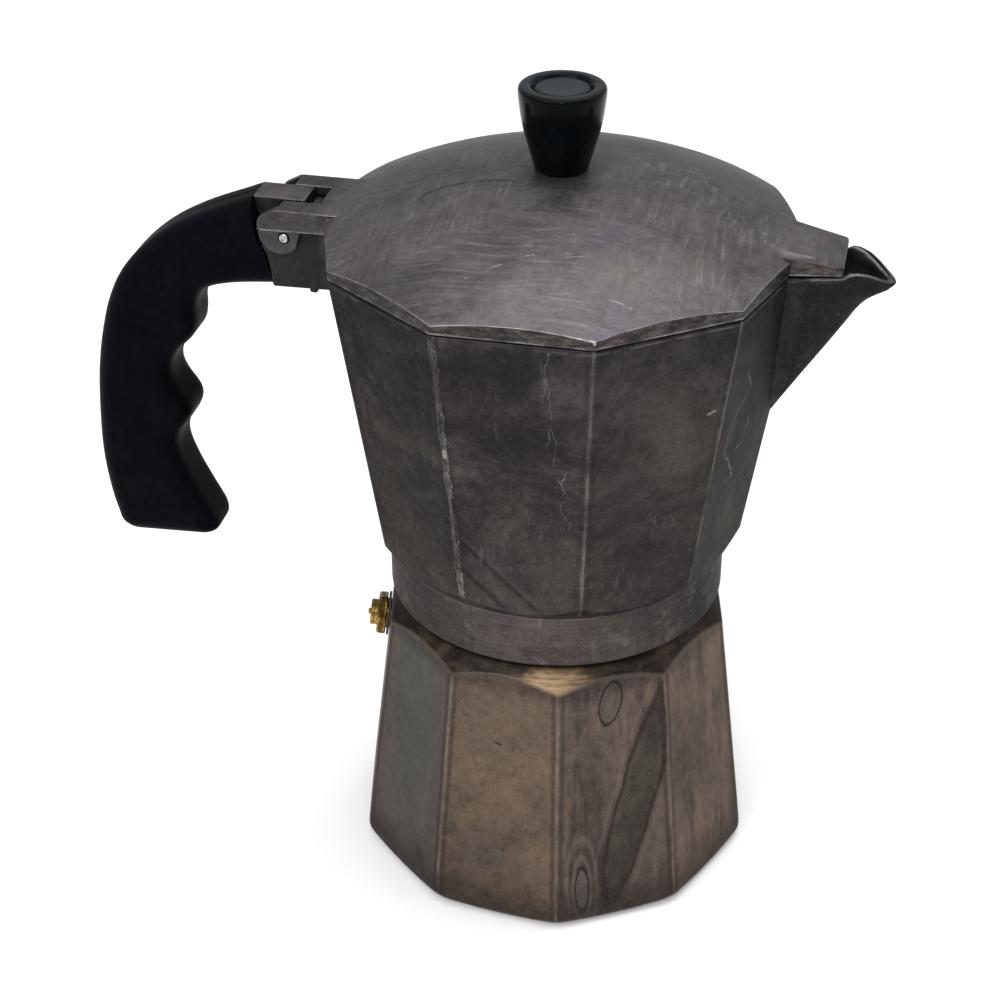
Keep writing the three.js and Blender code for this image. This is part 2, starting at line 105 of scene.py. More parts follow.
def column_solid(name, thetas, profile):
    """Solid whose section at each angle is profile(angle): the same number of (r, z) points, on a closed line or from axis to axis."""
    cols = [profile(t) for t in thetas]
    n, m_ = len(cols), len(cols[0])
    verts, faces = [], []
    for t, col in zip(thetas, cols):
        for r_, z in col:
            verts.append((r_ * math.cos(t), r_ * math.sin(t), z))
    for i in range(n):
        j = (i + 1) % n
        for k in range(m_ - 1):
            faces.append((i * m_ + k, j * m_ + k, j * m_ + k + 1, i * m_ + k + 1))
    if cols[0][0][0] > 1e-6:
        for i in range(n):
            j = (i + 1) % n
            faces.append((i * m_ + m_ - 1, j * m_ + m_ - 1, j * m_, i * m_))
    return make(name, verts, faces)


def lathe(name, profile, n=96, turn=0.0, closed=False):
    th = [2 * math.pi * i / n + turn for i in range(n)]
    o = column_solid(name, th, lambda t: profile)
    return o


def plate(name, outline, y0, y1, bevel=0.0, steps=3, side=None):
    """Plate whose outline is in XZ, between y0 and y1, with its long edges rounded."""
    bm = bmesh.new()
    lo = [bm.verts.new((x * MM, y0 * MM, z * MM)) for x, z in outline]
    hi = [bm.verts.new((x * MM, y1 * MM, z * MM)) for x, z in outline]
    n = len(outline)
    bm.faces.new(lo)
    bm.faces.new(list(reversed(hi)))
    for i in range(n):
        bm.faces.new((lo[i], hi[i], hi[(i + 1) % n], lo[(i + 1) % n]))
    bmesh.ops.recalc_face_normals(bm, faces=bm.faces)
    if bevel:
        bm.edges.ensure_lookup_table()
        sel = []
        for e in bm.edges:
            ya, yb = e.verts[0].co.y, e.verts[1].co.y
            if abs(ya - yb) < 1e-9:
                if side is None or (side < 0 and abs(ya - y0 * MM) < 1e-9) or (side > 0 and abs(ya - y1 * MM) < 1e-9):
                    sel.append(e)
        bmesh.ops.bevel(bm, geom=sel, offset=bevel * MM, segments=steps, profile=0.5, affect="EDGES", clamp_overlap=True)
    me = bpy.data.meshes.new(name)
    bm.to_mesh(me)
    bm.free()
    o = bpy.data.objects.new(name, me)
    bpy.context.scene.collection.objects.link(o)
    return o


def rod_y(name, r_, x, z, y0, y1, n=64):
    ang = [2 * math.pi * i / n for i in range(n)]
    verts = [(x + r_ * math.cos(a), y, z + r_ * math.sin(a)) for y in (y0, y1) for a in ang]
    faces = [tuple(range(n)), tuple(reversed(range(n, 2 * n)))]
    faces += [(i, n + i, n + (i + 1) % n, (i + 1) % n) for i in range(n)]
    return make(name, verts, faces)


def box_solid(name, x0, x1, y0, y1, z0, z1):
    v = [(x, y, z) for x in (x0, x1) for y in (y0, y1) for z in (z0, z1)]
    f = [(0, 1, 3, 2), (4, 6, 7, 5), (0, 4, 5, 1), (2, 3, 7, 6), (0, 2, 6, 4), (1, 5, 7, 3)]
    return make(name, v, f)


def boolean(a, b, op="DIFFERENCE", solver="MANIFOLD", keep=False):
    mod = a.modifiers.new("b", "BOOLEAN")
    mod.operation = op
    mod.object = b
    mod.solver = solver
    dg = bpy.context.evaluated_depsgraph_get()
    new = bpy.data.meshes.new_from_object(a.evaluated_get(dg))
    if len(new.polygons) == 0 and solver == "MANIFOLD":
        a.modifiers.remove(mod)
        print("boolean: MANIFOLD failed for", a.name, b.name)
        return boolean(a, b, op, "EXACT", keep)
    a.modifiers.remove(mod)
    old = a.data
    a.data = new
    bpy.data.meshes.remove(old)
    if not keep:
        bpy.data.objects.remove(b)
    return a


def smooth(o, angle=32.0):
    me = o.data
    for p in me.polygons:
        p.use_smooth = True
    me.set_sharp_from_angle(angle=math.radians(angle))
    return o


def clean(o, dist=2e-5):
    bm = bmesh.new()
    bm.from_mesh(o.data)
    bmesh.ops.remove_doubles(bm, verts=bm.verts, dist=dist)
    bmesh.ops.dissolve_degenerate(bm, dist=dist, edges=bm.edges)
    bm.to_mesh(o.data)
    bm.free()
    return o


def facet_thetas(twist=0.0, corner=(0, 0.16, 0.32, 0.48, 0.64, 0.8, 1.1, 2.0), mid=12):
    """Angles round a ten-sided body, close together at its rounded corners."""
    a = list(corner)
    last = a[-1]
    a += [last + (18 - last) * (k + 1) / mid for k in range(mid)]
    one = sorted(set([-x for x in a[:-1]] + a))
    out = []
    for k in range(10):
        out += [math.radians(twist + 36 * k + x) for x in one]
    return out


def poly_r(theta, rc, twist=0.0, rho=2.4):
    """Radius of a ten-sided outline of across-corner radius rc whose corners are rounded by rho."""
    a = (math.degrees(theta) - twist + 18) % 36 - 18
    a = math.radians(abs(a))
    c = rc - rho / SH
    edge = rc * SH / math.cos(math.radians(18) - a)
    tangent = math.atan(rho * math.sin(math.radians(18)) / (c + rho * SH))
    if a >= tangent:
        return edge
    return c * math.cos(a) + math.sqrt(max(0, rho * rho - (c * math.sin(a)) ** 2))


# a small deterministic wobble
def wobble(*k):
    s = math.sin(k[0] * 12.9898 + (k[1] if len(k) > 1 else 0) * 78.233) * 43758.5453
    return s - math.floor(s) - 0.5


def soft(t, seed=0.0):
    return (math.sin(3 * t + seed) + 0.6 * math.sin(7 * t + 1.7 * seed) + 0.4 * math.sin(17 * t + 2.3 * seed)) / 2


# ---------------------------------------------------------------- material helpers
class Mat:
    def __init__(self, name):
        self.m = bpy.data.materials.new(name)
        self.m.use_nodes = True
        self.nt = self.m.node_tree
        self.nt.nodes.clear()
        self.out = self.nt.nodes.new("ShaderNodeOutputMaterial")
        self.bsdf = self.nt.nodes.new("ShaderNodeBsdfPrincipled")
        self.nt.links.new(self.bsdf.outputs[0], self.out.inputs[0])
        self.tc = self.nt.nodes.new("ShaderNodeTexCoord")
        # object space in millimetres
        self.P = self.vscale(self.tc.outputs["Object"], 1000.0)

    def link(self, a, b):
        if isinstance(a, bpy.types.NodeSocket):
            self.nt.links.new(a, b)
        elif a is not None:
            b.default_value = a

    def math(self, op, a, b=None, c=None, clamp=False):
        n = self.nt.nodes.new("ShaderNodeMath")
        n.operation = op
        n.use_clamp = clamp
        self.link(a, n.inputs[0])
        self.link(b, n.inputs[1])
        self.link(c, n.inputs[2])
        return n.outputs[0]

    def vec(self, op, a, b=None, out=0):
        n = self.nt.nodes.new("ShaderNodeVectorMath")
        n.operation = op
        self.link(a, n.inputs[0])
        self.link(b, n.inputs[1])
        return n.outputs[out]

    def vscale(self, a, s):
        n = self.nt.nodes.new("ShaderNodeVectorMath")
        n.operation = "SCALE"
        self.link(a, n.inputs[0])
        n.inputs["Scale"].default_value = s
        return n.outputs[0]

    def vscale_by(self, a, s):
        n = self.nt.nodes.new("ShaderNodeVectorMath")
        n.operation = "SCALE"
        self.link(a, n.inputs[0])
        self.link(s, n.inputs["Scale"])
        return n.outputs[0]

    def mapped(self, scale=(1, 1, 1), rot=(0, 0, 0), loc=(0, 0, 0), src=None):
        n = self.nt.nodes.new("ShaderNodeMapping")
        self.link(src if src is not None else self.P, n.inputs["Vector"])
        n.inputs["Scale"].default_value = scale
        n.inputs["Rotation"].default_value = tuple(math.radians(r_) for r_ in rot)
        n.inputs["Location"].default_value = loc
        return n.outputs[0]

    def noise(self, scale, detail=4, rough=0.55, vec=None, dist=0.0, out="Fac"):
        n = self.nt.nodes.new("ShaderNodeTexNoise")
        self.link(vec if vec is not None else self.P, n.inputs["Vector"])
        n.inputs["Scale"].default_value = scale
        n.inputs["Detail"].default_value = detail
        n.inputs["Roughness"].default_value = rough
        n.inputs["Distortion"].default_value = dist
        return n.outputs[out]

    def wave(self, scale, dist=2.0, vec=None, detail=3, kind="BANDS", direction="X", dscale=1.0):
        n = self.nt.nodes.new("ShaderNodeTexWave")
        n.wave_type = kind
        if kind == "BANDS":
            n.bands_direction = direction
        self.link(vec if vec is not None else self.P, n.inputs["Vector"])
        n.inputs["Scale"].default_value = scale
        n.inputs["Distortion"].default_value = dist
        n.inputs["Detail"].default_value = detail
        n.inputs["Detail Scale"].default_value = dscale
        return n.outputs["Fac"]

    def voronoi(self, scale, vec=None, feature="F1", out="Distance", random=1.0):
        n = self.nt.nodes.new("ShaderNodeTexVoronoi")
        n.feature = feature
        self.link(vec if vec is not None else self.P, n.inputs["Vector"])
        n.inputs["Scale"].default_value = scale
        n.inputs["Randomness"].default_value = random
        return n.outputs[out]

    def step(self, x, lo, hi, a=0.0, b=1.0):
        """Smooth ramp of x from lo to hi onto a to b."""
        n = self.nt.nodes.new("ShaderNodeMapRange")
        n.interpolation_type = "SMOOTHSTEP"
        self.link(x, n.inputs["Value"])
        n.inputs["From Min"].default_value = lo
        n.inputs["From Max"].default_value = hi
        n.inputs["To Min"].default_value = a
        n.inputs["To Max"].default_value = b
        return n.outputs[0]

    def lin(self, x, lo, hi, a=0.0, b=1.0):
        n = self.nt.nodes.new("ShaderNodeMapRange")
        self.link(x, n.inputs["Value"])
        n.inputs["From Min"].default_value = lo
        n.inputs["From Max"].default_value = hi
        n.inputs["To Min"].default_value = a
        n.inputs["To Max"].default_value = b
        return n.outputs[0]

    def mix(self, fac, a, b, blend="MIX"):
        n = self.nt.nodes.new("ShaderNodeMix")
        n.data_type = "RGBA"
        n.blend_type = blend
        self.link(fac, n.inputs[0])
        for v, s in ((a, n.inputs[6]), (b, n.inputs[7])):
            if isinstance(v, bpy.types.NodeSocket):
                self.nt.links.new(v, s)
            else:
                s.default_value = (*v, 1.0)
        return n.outputs[2]

    def ramp(self, fac, stops, interp="LINEAR"):
        n = self.nt.nodes.new("ShaderNodeValToRGB")
        n.color_ramp.interpolation = interp
        el = n.color_ramp.elements
        while len(el) > 1:
            el.remove(el[-1])
        el[0].position, el[0].color = stops[0][0], (*stops[0][1], 1)
        for p, c in stops[1:]:
            e = el.new(p)
            e.color = (*c, 1)
        self.link(fac, n.inputs[0])
        return n.outputs[0]

    def mul(self, *xs):
        r_ = xs[0]
        for x in xs[1:]:
            r_ = self.math("MULTIPLY", r_, x)
        return r_

    def add(self, *xs):
        r_ = xs[0]
        for x in xs[1:]:
            r_ = self.math("ADD", r_, x)
        return r_

    def top(self, *xs):
        r_ = xs[0]
        for x in xs[1:]:
            r_ = self.math("MAXIMUM", r_, x)
        return r_

    # -- shapes laid on the surface, in millimetres
    def segment(self, a, b, src=None):
        """Distance from the line between two points."""
        P = src if src is not None else self.P
        ba = [b[i] - a[i] for i in range(3)]
        l2 = sum(x * x for x in ba) or 1e-6
        pa = self.vec("SUBTRACT", P, tuple(a))
        h = self.math("MULTIPLY", self.vec("DOT_PRODUCT", pa, tuple(ba), out=1), 1 / l2, clamp=True)
        q = self.vscale_by(tuple(ba), h)
        return self.vec("LENGTH", self.vec("SUBTRACT", pa, q), out=1)

    def line(self, pts, src=None):
        d = None
        for a, b in zip(pts, pts[1:]):
            s = self.segment(a, b, src)
            d = s if d is None else self.math("MINIMUM", d, s)
        return d

    def oval(self, c, u, v, a, b, src=None):
        """1 on the outline of an ellipse with centre c, axis directions u and v and half-axes a and b."""
        P = src if src is not None else self.P
        pa = self.vec("SUBTRACT", P, tuple(c))
        x = self.math("MULTIPLY", self.vec("DOT_PRODUCT", pa, tuple(u), out=1), 1 / a)
        y = self.math("MULTIPLY", self.vec("DOT_PRODUCT", pa, tuple(v), out=1), 1 / b)
        return self.math("SQRT", self.math("ADD", self.math("MULTIPLY", x, x), self.math("MULTIPLY", y, y)))

    def corner_distance(self, twist):
        """Millimetres round the body from the nearest vertical corner, the number of that corner, and the facet's number."""
        sep = self.nt.nodes.new("ShaderNodeSeparateXYZ")
        self.nt.links.new(self.P, sep.inputs[0])
        ang = self.math("ARCTAN2", sep.outputs[1], sep.outputs[0])
        t = self.math("DIVIDE", self.math("SUBTRACT", ang, math.radians(twist)), math.radians(36))
        near = self.math("ROUND", t)
        r_ = self.math("SQRT", self.math("ADD", self.mul(sep.outputs[0], sep.outputs[0]), self.mul(sep.outputs[1], sep.outputs[1])))
        d = self.mul(self.math("ABSOLUTE", self.math("SUBTRACT", t, near)), math.radians(36), r_)
        return d, self.math("FLOORED_MODULO", near, 10.0), self.math("FLOORED_MODULO", self.math("FLOOR", t), 10.0), sep.outputs[2], r_

    def bump(self, height, strength=0.3, distance=0.0002, normal=None):
        n = self.nt.nodes.new("ShaderNodeBump")
        n.inputs["Strength"].default_value = strength
        n.inputs["Distance"].default_value = distance
        self.link(height, n.inputs["Height"])
        if normal is not None:
            self.nt.links.new(normal, n.inputs["Normal"])
        return n.outputs[0]

    def set(self, **kw):
        names = {"color": "Base Color", "rough": "Roughness", "metal": "Metallic", "normal": "Normal", "spec": "Specular IOR Level",
                 "coat": "Coat Weight", "coat_rough": "Coat Roughness", "ior": "IOR"}
        for k, v in kw.items():
            s = self.bsdf.inputs[names[k]]
            if isinstance(v, bpy.types.NodeSocket):
                self.nt.links.new(v, s)
            elif k == "color":
                s.default_value = (*v, 1)
            else:
                s.default_value = v
        return self


def put(o, mat):
    o.data.materials.clear()
    o.data.materials.append(mat.m if isinstance(mat, Mat) else mat)
    return o


def hexc(h):
    """sRGB #rrggbb to linear."""
    v = [int(h[i:i + 2], 16) / 255 for i in (0, 2, 4)]
    return tuple(x / 12.92 if x <= 0.04045 else ((x + 0.055) / 1.055) ** 2.4 for x in v)


# ---------------------------------------------------------------- driving dimensions (mm), as in the solid model
BASE_R, SHOULDER_R, SHOULDER_Z, TWIST = 61.6, 51.4, 80.0, -6.08
TAPER = (SHOULDER_R - BASE_R) / SHOULDER_Z
BODY_R0, BODY_Z0, BODY_R1, RIM_Z = 53.95, 111.0, 66.85, 196.55
SLOPE = (BODY_R1 - BODY_R0) / (RIM_Z - BODY_Z0)
PIN_X, PIN_Z, PIN_R = -74.6, 194.6, 1.4


def rat(z):
    return BODY_R0 + SLOPE * (z - BODY_Z0)


def helix_thread(name, r_root, r_crest, z0, turns=2.0, pitch=3.0, steps=64):
    """Screw thread of a trapezoid section, its ends run out into the root."""
    sec0 = [(0, -0.8), (1, -0.3), (1, 0.3), (0, 0.8)]
    n = int(steps * turns)
    verts, faces = [], []
    into = -0.6 if r_crest > r_root else 0.6
    for i in range(n + 1):
        t = i / n
        a = 2 * math.pi * turns * t
        fade = min(1, t * 14, (1 - t) * 14)
        z = z0 + pitch * turns * t
        for s, dz in sec0:
            r_ = (r_root + into) + s * ((r_crest - r_root) - into) * fade if s else r_root + into
            verts.append((r_ * math.cos(a), r_ * math.sin(a), z + dz))
    for i in range(n):
        for k in range(4):
            a, b = i * 4 + k, i * 4 + (k + 1) % 4
            faces.append((a, b, b + 4, a + 4))
    faces += [(0, 1, 2, 3), (n * 4 + 3, n * 4 + 2, n * 4 + 1, n * 4)]
    return make(name, verts, faces, merge=False)


# ---------------------------------------------------------------- boiler
def boiler_profile(theta):
    def rp(z, rho=2.6):
        return poly_r(theta, BASE_R + TAPER * z, TWIST, rho + 6.0 * max(0.0, 1 - z / 18) ** 1.5)
    # where the facet meets the turned shoulder (cone through r 51.4 at z 80 and r 45.2 at z 85.9)
    lo, hi = 78.0, 86.0
    for _ in range(30):
        z = (lo + hi) / 2
        if rp(z) < SHOULDER_R - (z - SHOULDER_Z) * 1.0508:
            lo = z
        else:
            hi = z
    zi = (lo + hi) / 2 + 0.05 * soft(theta, 1.0)
    ri = rp(zi)
    zb = 0.0
    cut = min(1.0, max(0.0, (rp(2.6) - 57.5) / 3.4))
    body = [(0, zb), (52.0, zb), (rp(0) - 2.4 - 1.1 * cut, zb), (rp(2.4) - 0.35 * cut, 2.4 + 1.2 * cut)]
    rows = [6, 14, 24, 34, 44, 54, 64, 72, 77]
    side = [(rp(z), z) for z in rows]
    pts = body + side + [(ri, zi), (45.2, 85.9), (43.4, 87.25), (42.6, 87.4), (42.6, 99.0), (38.8, 99.0), (38.8, 85.0), (43, 79.5),
                         (45.3, 75), (54.3, 7), (51.2, 4), (0, 4)]
    rad_ = [0, 0, 1.1, 2.4] + [0] * len(rows) + [0.9, 1.6, 0.4, 0, 0.7, 0.5, 3, 3, 3, 3, 3, 0]
    return round_corners(pts, rad_, 4)


VALVE_AZ = math.radians(191.92)
v_tilt = math.atan(-TAPER * SH)
v_apo = (BASE_R + TAPER * 72) * SH
v_n = Vector((math.cos(v_tilt) * math.cos(VALVE_AZ), math.cos(v_tilt) * math.sin(VALVE_AZ), math.sin(v_tilt)))
v_m = Matrix.Translation(Vector((v_apo * math.cos(VALVE_AZ), v_apo * math.sin(VALVE_AZ), 72)) * MM) @ Vector((0, 0, 1)).rotation_difference(v_n).to_matrix().to_4x4()


def in_valve_frame(o):
    o.data.transform(v_m)
    return o


th_b = facet_thetas(TWIST)
boiler = column_solid("boiler_body", th_b, boiler_profile)
thread_m = helix_thread("thread_m", 42.6, 44.3, 90.2)
boolean(boiler, thread_m, "UNION")
boolean(boiler, in_valve_frame(lathe("vh", [(0, -9), (5.0, -9), (5.0, 3), (0, 3)], 48)))
clean(boiler)
smooth(boiler, 34)

# ---------------------------------------------------------------- collector: skin, spout, bracket, hollow
def collector_profile(theta):
    def rp(z):
        return poly_r(theta, rat(z), 0.0, 2.0)
    lo, hi = 104.0, 112.0
    for _ in range(30):
        z = (lo + hi) / 2
        cone = 48.95 + (z - 104.6) * (53.95 - 48.95) / 6.4
        if rp(z) > cone:
            lo = z
        else:
            hi = z
    zi = (lo + hi) / 2
    ri = rp(zi)
    rows = [114.5, 120, 130, 142, 154, 166, 178, 186, 192]
    pts = [(0, 88.45), (44, 88.45), (48.95, 88.45), (48.95, 100), (48.95, 104.6), (ri, zi)]
    pts += [(rp(z), z) for z in rows] + [(rp(RIM_Z), RIM_Z), (0, RIM_Z)]
    rad_ = [0, 0, 0.8, 0, 0.7, 0.7] + [0] * len(rows) + [0.55, 0]
    return round_corners(pts, rad_, 4)


def cavity_profile(theta):
    def rp(z):
        return poly_r(theta, rat(z) - 3.25, 0.0, 4.0)
    zs = [120, 132, 146, 160, 174, 186, 194, 200]
    pts = [(0, 110.4), (44.5, 110.4), (min(rp(116), 51.5), 116.2)] + [(rp(z), z) for z in zs] + [(0, 200)]
    rad_ = [0, 4, 3] + [0] * len(zs) + [0]
    return round_corners(pts, rad_, 4)


def spline(pts, per=8):
    """Catmull-Rom through the points."""
    p = [np.array(x, float) for x in pts]
    p = [2 * p[0] - p[1]] + p + [2 * p[-1] - p[-2]]
    out = []
    for i in range(1, len(p) - 2):
        for k in range(per):
            t = k / per
            a, b, c, d = p[i - 1], p[i], p[i + 1], p[i + 2]
            out.append(0.5 * ((2 * b) + (c - a) * t + (2 * a - 5 * b + 4 * c - d) * t * t + (3 * b - a - 3 * c + d) * t ** 3))
    out.append(p[-2])
    return out


BEAK = spline([(61.7, 13), (69, 12.1), (77, 10.3), (81.5, 8.6), (85.4, 6.5), (88.2, 4.3), (89.8, 2.1)], 5)[:-1] + [(89.8, 2.1), (90.15, 1.0), (90.2, 0.35)]
KEEL_Z = [146, 150.2, 162.5, 171.7, 178, 181.1, 183.8, 185.7, 187.2, 188.4, 189.4, 190.2, 190.9, 191.5, 192.2, 193, 199]
KEEL_X = [57.4, 59.8, 67.3, 73.1, 76.95, 78.8, 80.35, 81.7, 83.1, 84.5, 86.1, 87.8, 89.0, 89.7, 90.1, 90.2, 90.2]


def beak_point(xy, z, inset):
    x, y = xy
    xb = rat(z) * SH - 2
    xk = float(np.interp(z, KEEL_Z, KEEL_X)) - inset
    half = 13 * min(1, max(0.02, (z - 145) / 52)) ** 0.9
    w = max(0.25, half - 0.8 * inset)
    return (xb + (x - 61.7) * (xk - xb) / (90.2 - 61.7), y * w / 13)


def rim_z(x):
    """Height of the spout's rim over the length of the spout."""
    return float(np.interp(x, [60, 70, 76.9, 77.9, 80.2, 83, 85.8, 88, 90.2], [196.55, 196.5, 196.6, 197.55, 197.7, 197.0, 195.5, 194.0, 192.9]))


def beak_solid(name, inset, z_start, cutter):
    """Filled spout (or, as a cutter, the hollow in it) as columns from below up to the rounded rim."""
    half = [(50.0 if not inset else 46.0, None)] + [tuple(p) for p in BEAK]
    cols = []
    for x, y in half:
        if y is None:
            y, root = 13.0, x
        else:
            root = None
        zr = rim_z(x)
        col = []
        top = zr - 0.95
        zs = [z_start + (top - z_start) * (k / 22) ** 0.75 for k in range(23)]
        for z in zs:
            px, py = beak_point((max(x, 61.7), y), z, inset)
            if root is not None:
                px = root
            col.append((px, py, z))
        # the rim: rounded out of the wall, inward on the outside, outward on the inside
        nx, ny = 0.0, 1.0
        if root is None:
            i = half.index((x, y))
            a, b = half[max(1, i - 1)], half[min(len(half) - 1, i + 1)]
            tx, ty = b[0] - a[0], b[1] - a[1]
            l_ = math.hypot(tx, ty)
            nx, ny = -ty / l_, tx / l_
            nx, ny = (nx, ny) if nx >= -1e-6 else (-nx, -ny)
            if ny < 0:
                nx, ny = -nx, -ny
        bx, by = beak_point((max(x, 61.7), y), zr, inset)
        if root is not None:
            bx = root
        sgn = 1 if cutter else -1
        for k in range(1, 6):
            a_ = math.pi / 2 * k / 5
            off = 0.95 * (1 - math.cos(a_)) * sgn
            ox, oy = bx + nx * off, by + ny * off
            if not cutter:
                oy = max(oy, 0.02)
            col.append((ox, oy, top + 0.95 * math.sin(a_)))
        if cutter:
            col.append((col[-1][0], col[-1][1], zr + 6))
        cols.append(col)
    rows = len(cols[0])
    n = len(cols)
    verts = []
    for col in cols:
        verts += col
    for col in cols:
        verts += [(x, -y, z) for x, y, z in col]
    L = lambda c, k: c * rows + k
    R = lambda c, k: (n + c) * rows + k
    faces = []
    for c in range(n - 1):
        for k in range(rows - 1):
            faces.append((L(c, k), L(c + 1, k), L(c + 1, k + 1), L(c, k + 1)))
            faces.append((R(c, k), R(c, k + 1), R(c + 1, k + 1), R(c + 1, k)))
        faces.append((L(c, rows - 1), L(c + 1, rows - 1), R(c + 1, rows - 1), R(c, rows - 1)))
        faces.append((L(c, 0), R(c, 0), R(c + 1, 0), L(c + 1, 0)))
    for k in range(rows - 1):
        faces.append((L(0, k), L(0, k + 1), R(0, k + 1), R(0, k)))
        faces.append((L(n - 1, k), R(n - 1, k), R(n - 1, k + 1), L(n - 1, k + 1)))
    return make(name, verts, faces)


def arc(cx, cz, r_, a0, a1, n):
    return [(cx + r_ * math.cos(math.radians(a0 + (a1 - a0) * k / n)), cz + r_ * math.sin(math.radians(a0 + (a1 - a0) * k / n))) for k in range(n + 1)]


th_c = facet_thetas(0.0)
collector = column_solid("collector_body", th_c, collector_profile)
boolean(collector, beak_solid("beak", 0.0, 148, False), "UNION")
cavity = column_solid("cavity", th_c, cavity_profile)

foot_outline = round_corners([(-56, 178.8), (-79.5, 178.4), (-79.9, 183), (-80.9, 188.3), (-82.1, 190.1)], [0, 0.6, 0, 0, 0], 2)
foot_outline += arc(PIN_X, PIN_Z, 5.0, 211, 95, 24) + [(-68.4, 199.4), (-68.4, 196.4), (-56, 196.4)]
foot = plate("foot", foot_outline, -9.6, 9.6, 0.7, 3)
boolean(foot, cavity, keep=True)
boolean(collector, foot, "UNION")
top_block = round_corners([(-85, 203.2), (-84.3, 199), (-83.6, 194.6), (-83.2, 191.6), (-81.9, 189.6), (-72, 189.6), (-70.2, 199.2), (-70.2, 203.2)],
                          [0.5, 0, 0, 0, 0, 0, 0, 2.6], 6)
boolean(collector, plate("top_block", top_block, -5.2, 5.2, 0.5, 3), "UNION")
nub = plate("nub", round_corners([(-69.0, 181.0), (-69.0, 177.5), (-66.8, 177.1), (-66.8, 181.0)], [0, 0.5, 0.7, 0], 3), -9.2, -6.6, 0.4, 2)
boolean(nub, cavity, keep=True)
boolean(collector, nub, "UNION")
boolean(collector, cavity)
bore = [(0, 87), (45.6, 87), (45.6, 88.5), (45.0, 89.4), (45, 99.4), (42, 100.4), (42, 104), (38.2, 104), (38.2, 105), (0, 105)]
boolean(collector, lathe("bore", bore, 128))
boolean(collector, beak_solid("hollow", 2.6, 153, True))
boolean(collector, box_solid("socket", -90, -65.6, -5.3, 5.3, 181, 190.6))
boolean(collector, rod_y("pinhole", PIN_R + 0.3, PIN_X, PIN_Z, -20, 20, 40))
boolean(collector, lathe("riserhole", [(0, 104), (6.3, 104), (6.3, 112), (0, 112)], 64))
sc = lathe("screwhole", [(0, 176), (1.85, 176), (1.85, 184), (0, 184)], 32)
sc.data.transform(Matrix.Translation((-70.2 * MM, 0, 0)))
boolean(collector, sc)
boolean(collector, helix_thread("thread_f", 45.0, 43.3, 91.7), "UNION")
clean(collector)
smooth(collector, 32)


# ---------------------------------------------------------------- lid
LID_Z, LID_R, DOME_R, DOME_TOP = 196.9, 66.9, 136.0, 216.9


def dome_z(r_):
    return DOME_TOP - DOME_R + math.sqrt(DOME_R * DOME_R - r_ * r_)


def lid_profile(theta):
    rc = poly_r(theta, LID_R, 0.0, 1.6)
    zt = dome_z(rc)
    base = LID_Z + 0.07 * soft(theta * 1.7, 2.0)
    outs = [0, 3, 6, 10, 15, 20, 26, 32, 38, 44, 50, 55, 59, 61.5]
    pts = [(r_, dome_z(r_)) for r_ in outs]
    pts += [(rc - 1.5, dome_z(rc - 1.5)), (rc, zt), (rc, base), (61, base - 0.0), (61, LID_Z + 2.2)]
    ins = [56, 48, 40, 30, 20, 10, 0]
    pts += [(r_, dome_z(r_) - 2.4) for r_ in ins]
    rad_ = [0] * len(outs) + [0, 0.55, 0.45, 0.3, 0.8] + [0] * len(ins)
    return round_corners(pts, rad_, 4)


lid = column_solid("lid_shell", facet_thetas(0.0, mid=10), lid_profile)
# outer wall of each ear: a level band on top that stands a little proud of the rounded lobe round the pin
lobe = [(-56, 202.2)] + [(-76.4, 202.2)] + [(-80.2, 199.0)] + arc(PIN_X - 1.3, PIN_Z + 1.1, 6.1, 178, 318, 28) + [(-69.8, 196.9), (-56, 196.9)]
band = round_corners([(-56, 203), (-76.6, 203), (-82, 200.2), (-82, 196.5), (-56, 196.9)], [0, 3.2, 3.4, 0.5, 0], 8)
for s in (-1, 1):
    y_in, y_lobe, y_band = 10.0 * s, 12.0 * s, 12.85 * s
    boolean(lid, plate("lobe", lobe, min(y_in, y_lobe), max(y_in, y_lobe), 0.35, 2, side=s), "UNION")
    boolean(lid, plate("band", band, min(y_in, y_band), max(y_in, y_band), 0.75, 4, side=s), "UNION")
    ear = round_corners([(-54, 199.9), (-76.7, 199.9), (-76.7, 203), (-54, 203)], [0, 0, 1.0, 0], 6)
    y0, y1 = sorted((5.7 * s, 11.9 * s))
    boolean(lid, plate("ear", ear, y0, y1, 0.5, 3, side=-s), "UNION")
web = round_corners([(-54, 198.4), (-66.1, 198.4), (-66.1, 203), (-54, 203)], [0, 0, 1.1, 0], 5)
web = plate("web", web, -12.2, 12.2)
boolean(web, lathe("web_inside", [(0, 190), (55.8, 190), (55.8, 198.4), (0, 198.4)], 64))
boolean(lid, web, "UNION")
tongue = round_corners([(58, 197.1), (76.5, 197.1), (76.7, 199.35), (70, 200.5), (62, 201.95), (58, 202.2)], [0, 0.6, 0.7, 3, 3, 0], 4)
tongue = plate("tongue", tongue, -12.4, 12.4)
plan = [(57, -12.3), (62, -12.15), (75.9, -9.95), (76.9, -8.9), (76.9, 8.9), (75.9, 9.95), (62, 12.15), (57, 12.3)]
plan = round_corners(plan, [0, 2, 1.5, 1.5, 1.5, 1.5, 2, 0], 4)
n_ = len(plan)
plan_o = make("plan", [(x, y, 190) for x, y in plan] + [(x, y, 210) for x, y in plan],
              [tuple(range(n_))[::-1], tuple(range(n_, 2 * n_))] + [(i, (i + 1) % n_, n_ + (i + 1) % n_, n_ + i) for i in range(n_)])
boolean(tongue, plan_o, "INTERSECT")
boolean(lid, tongue, "UNION")


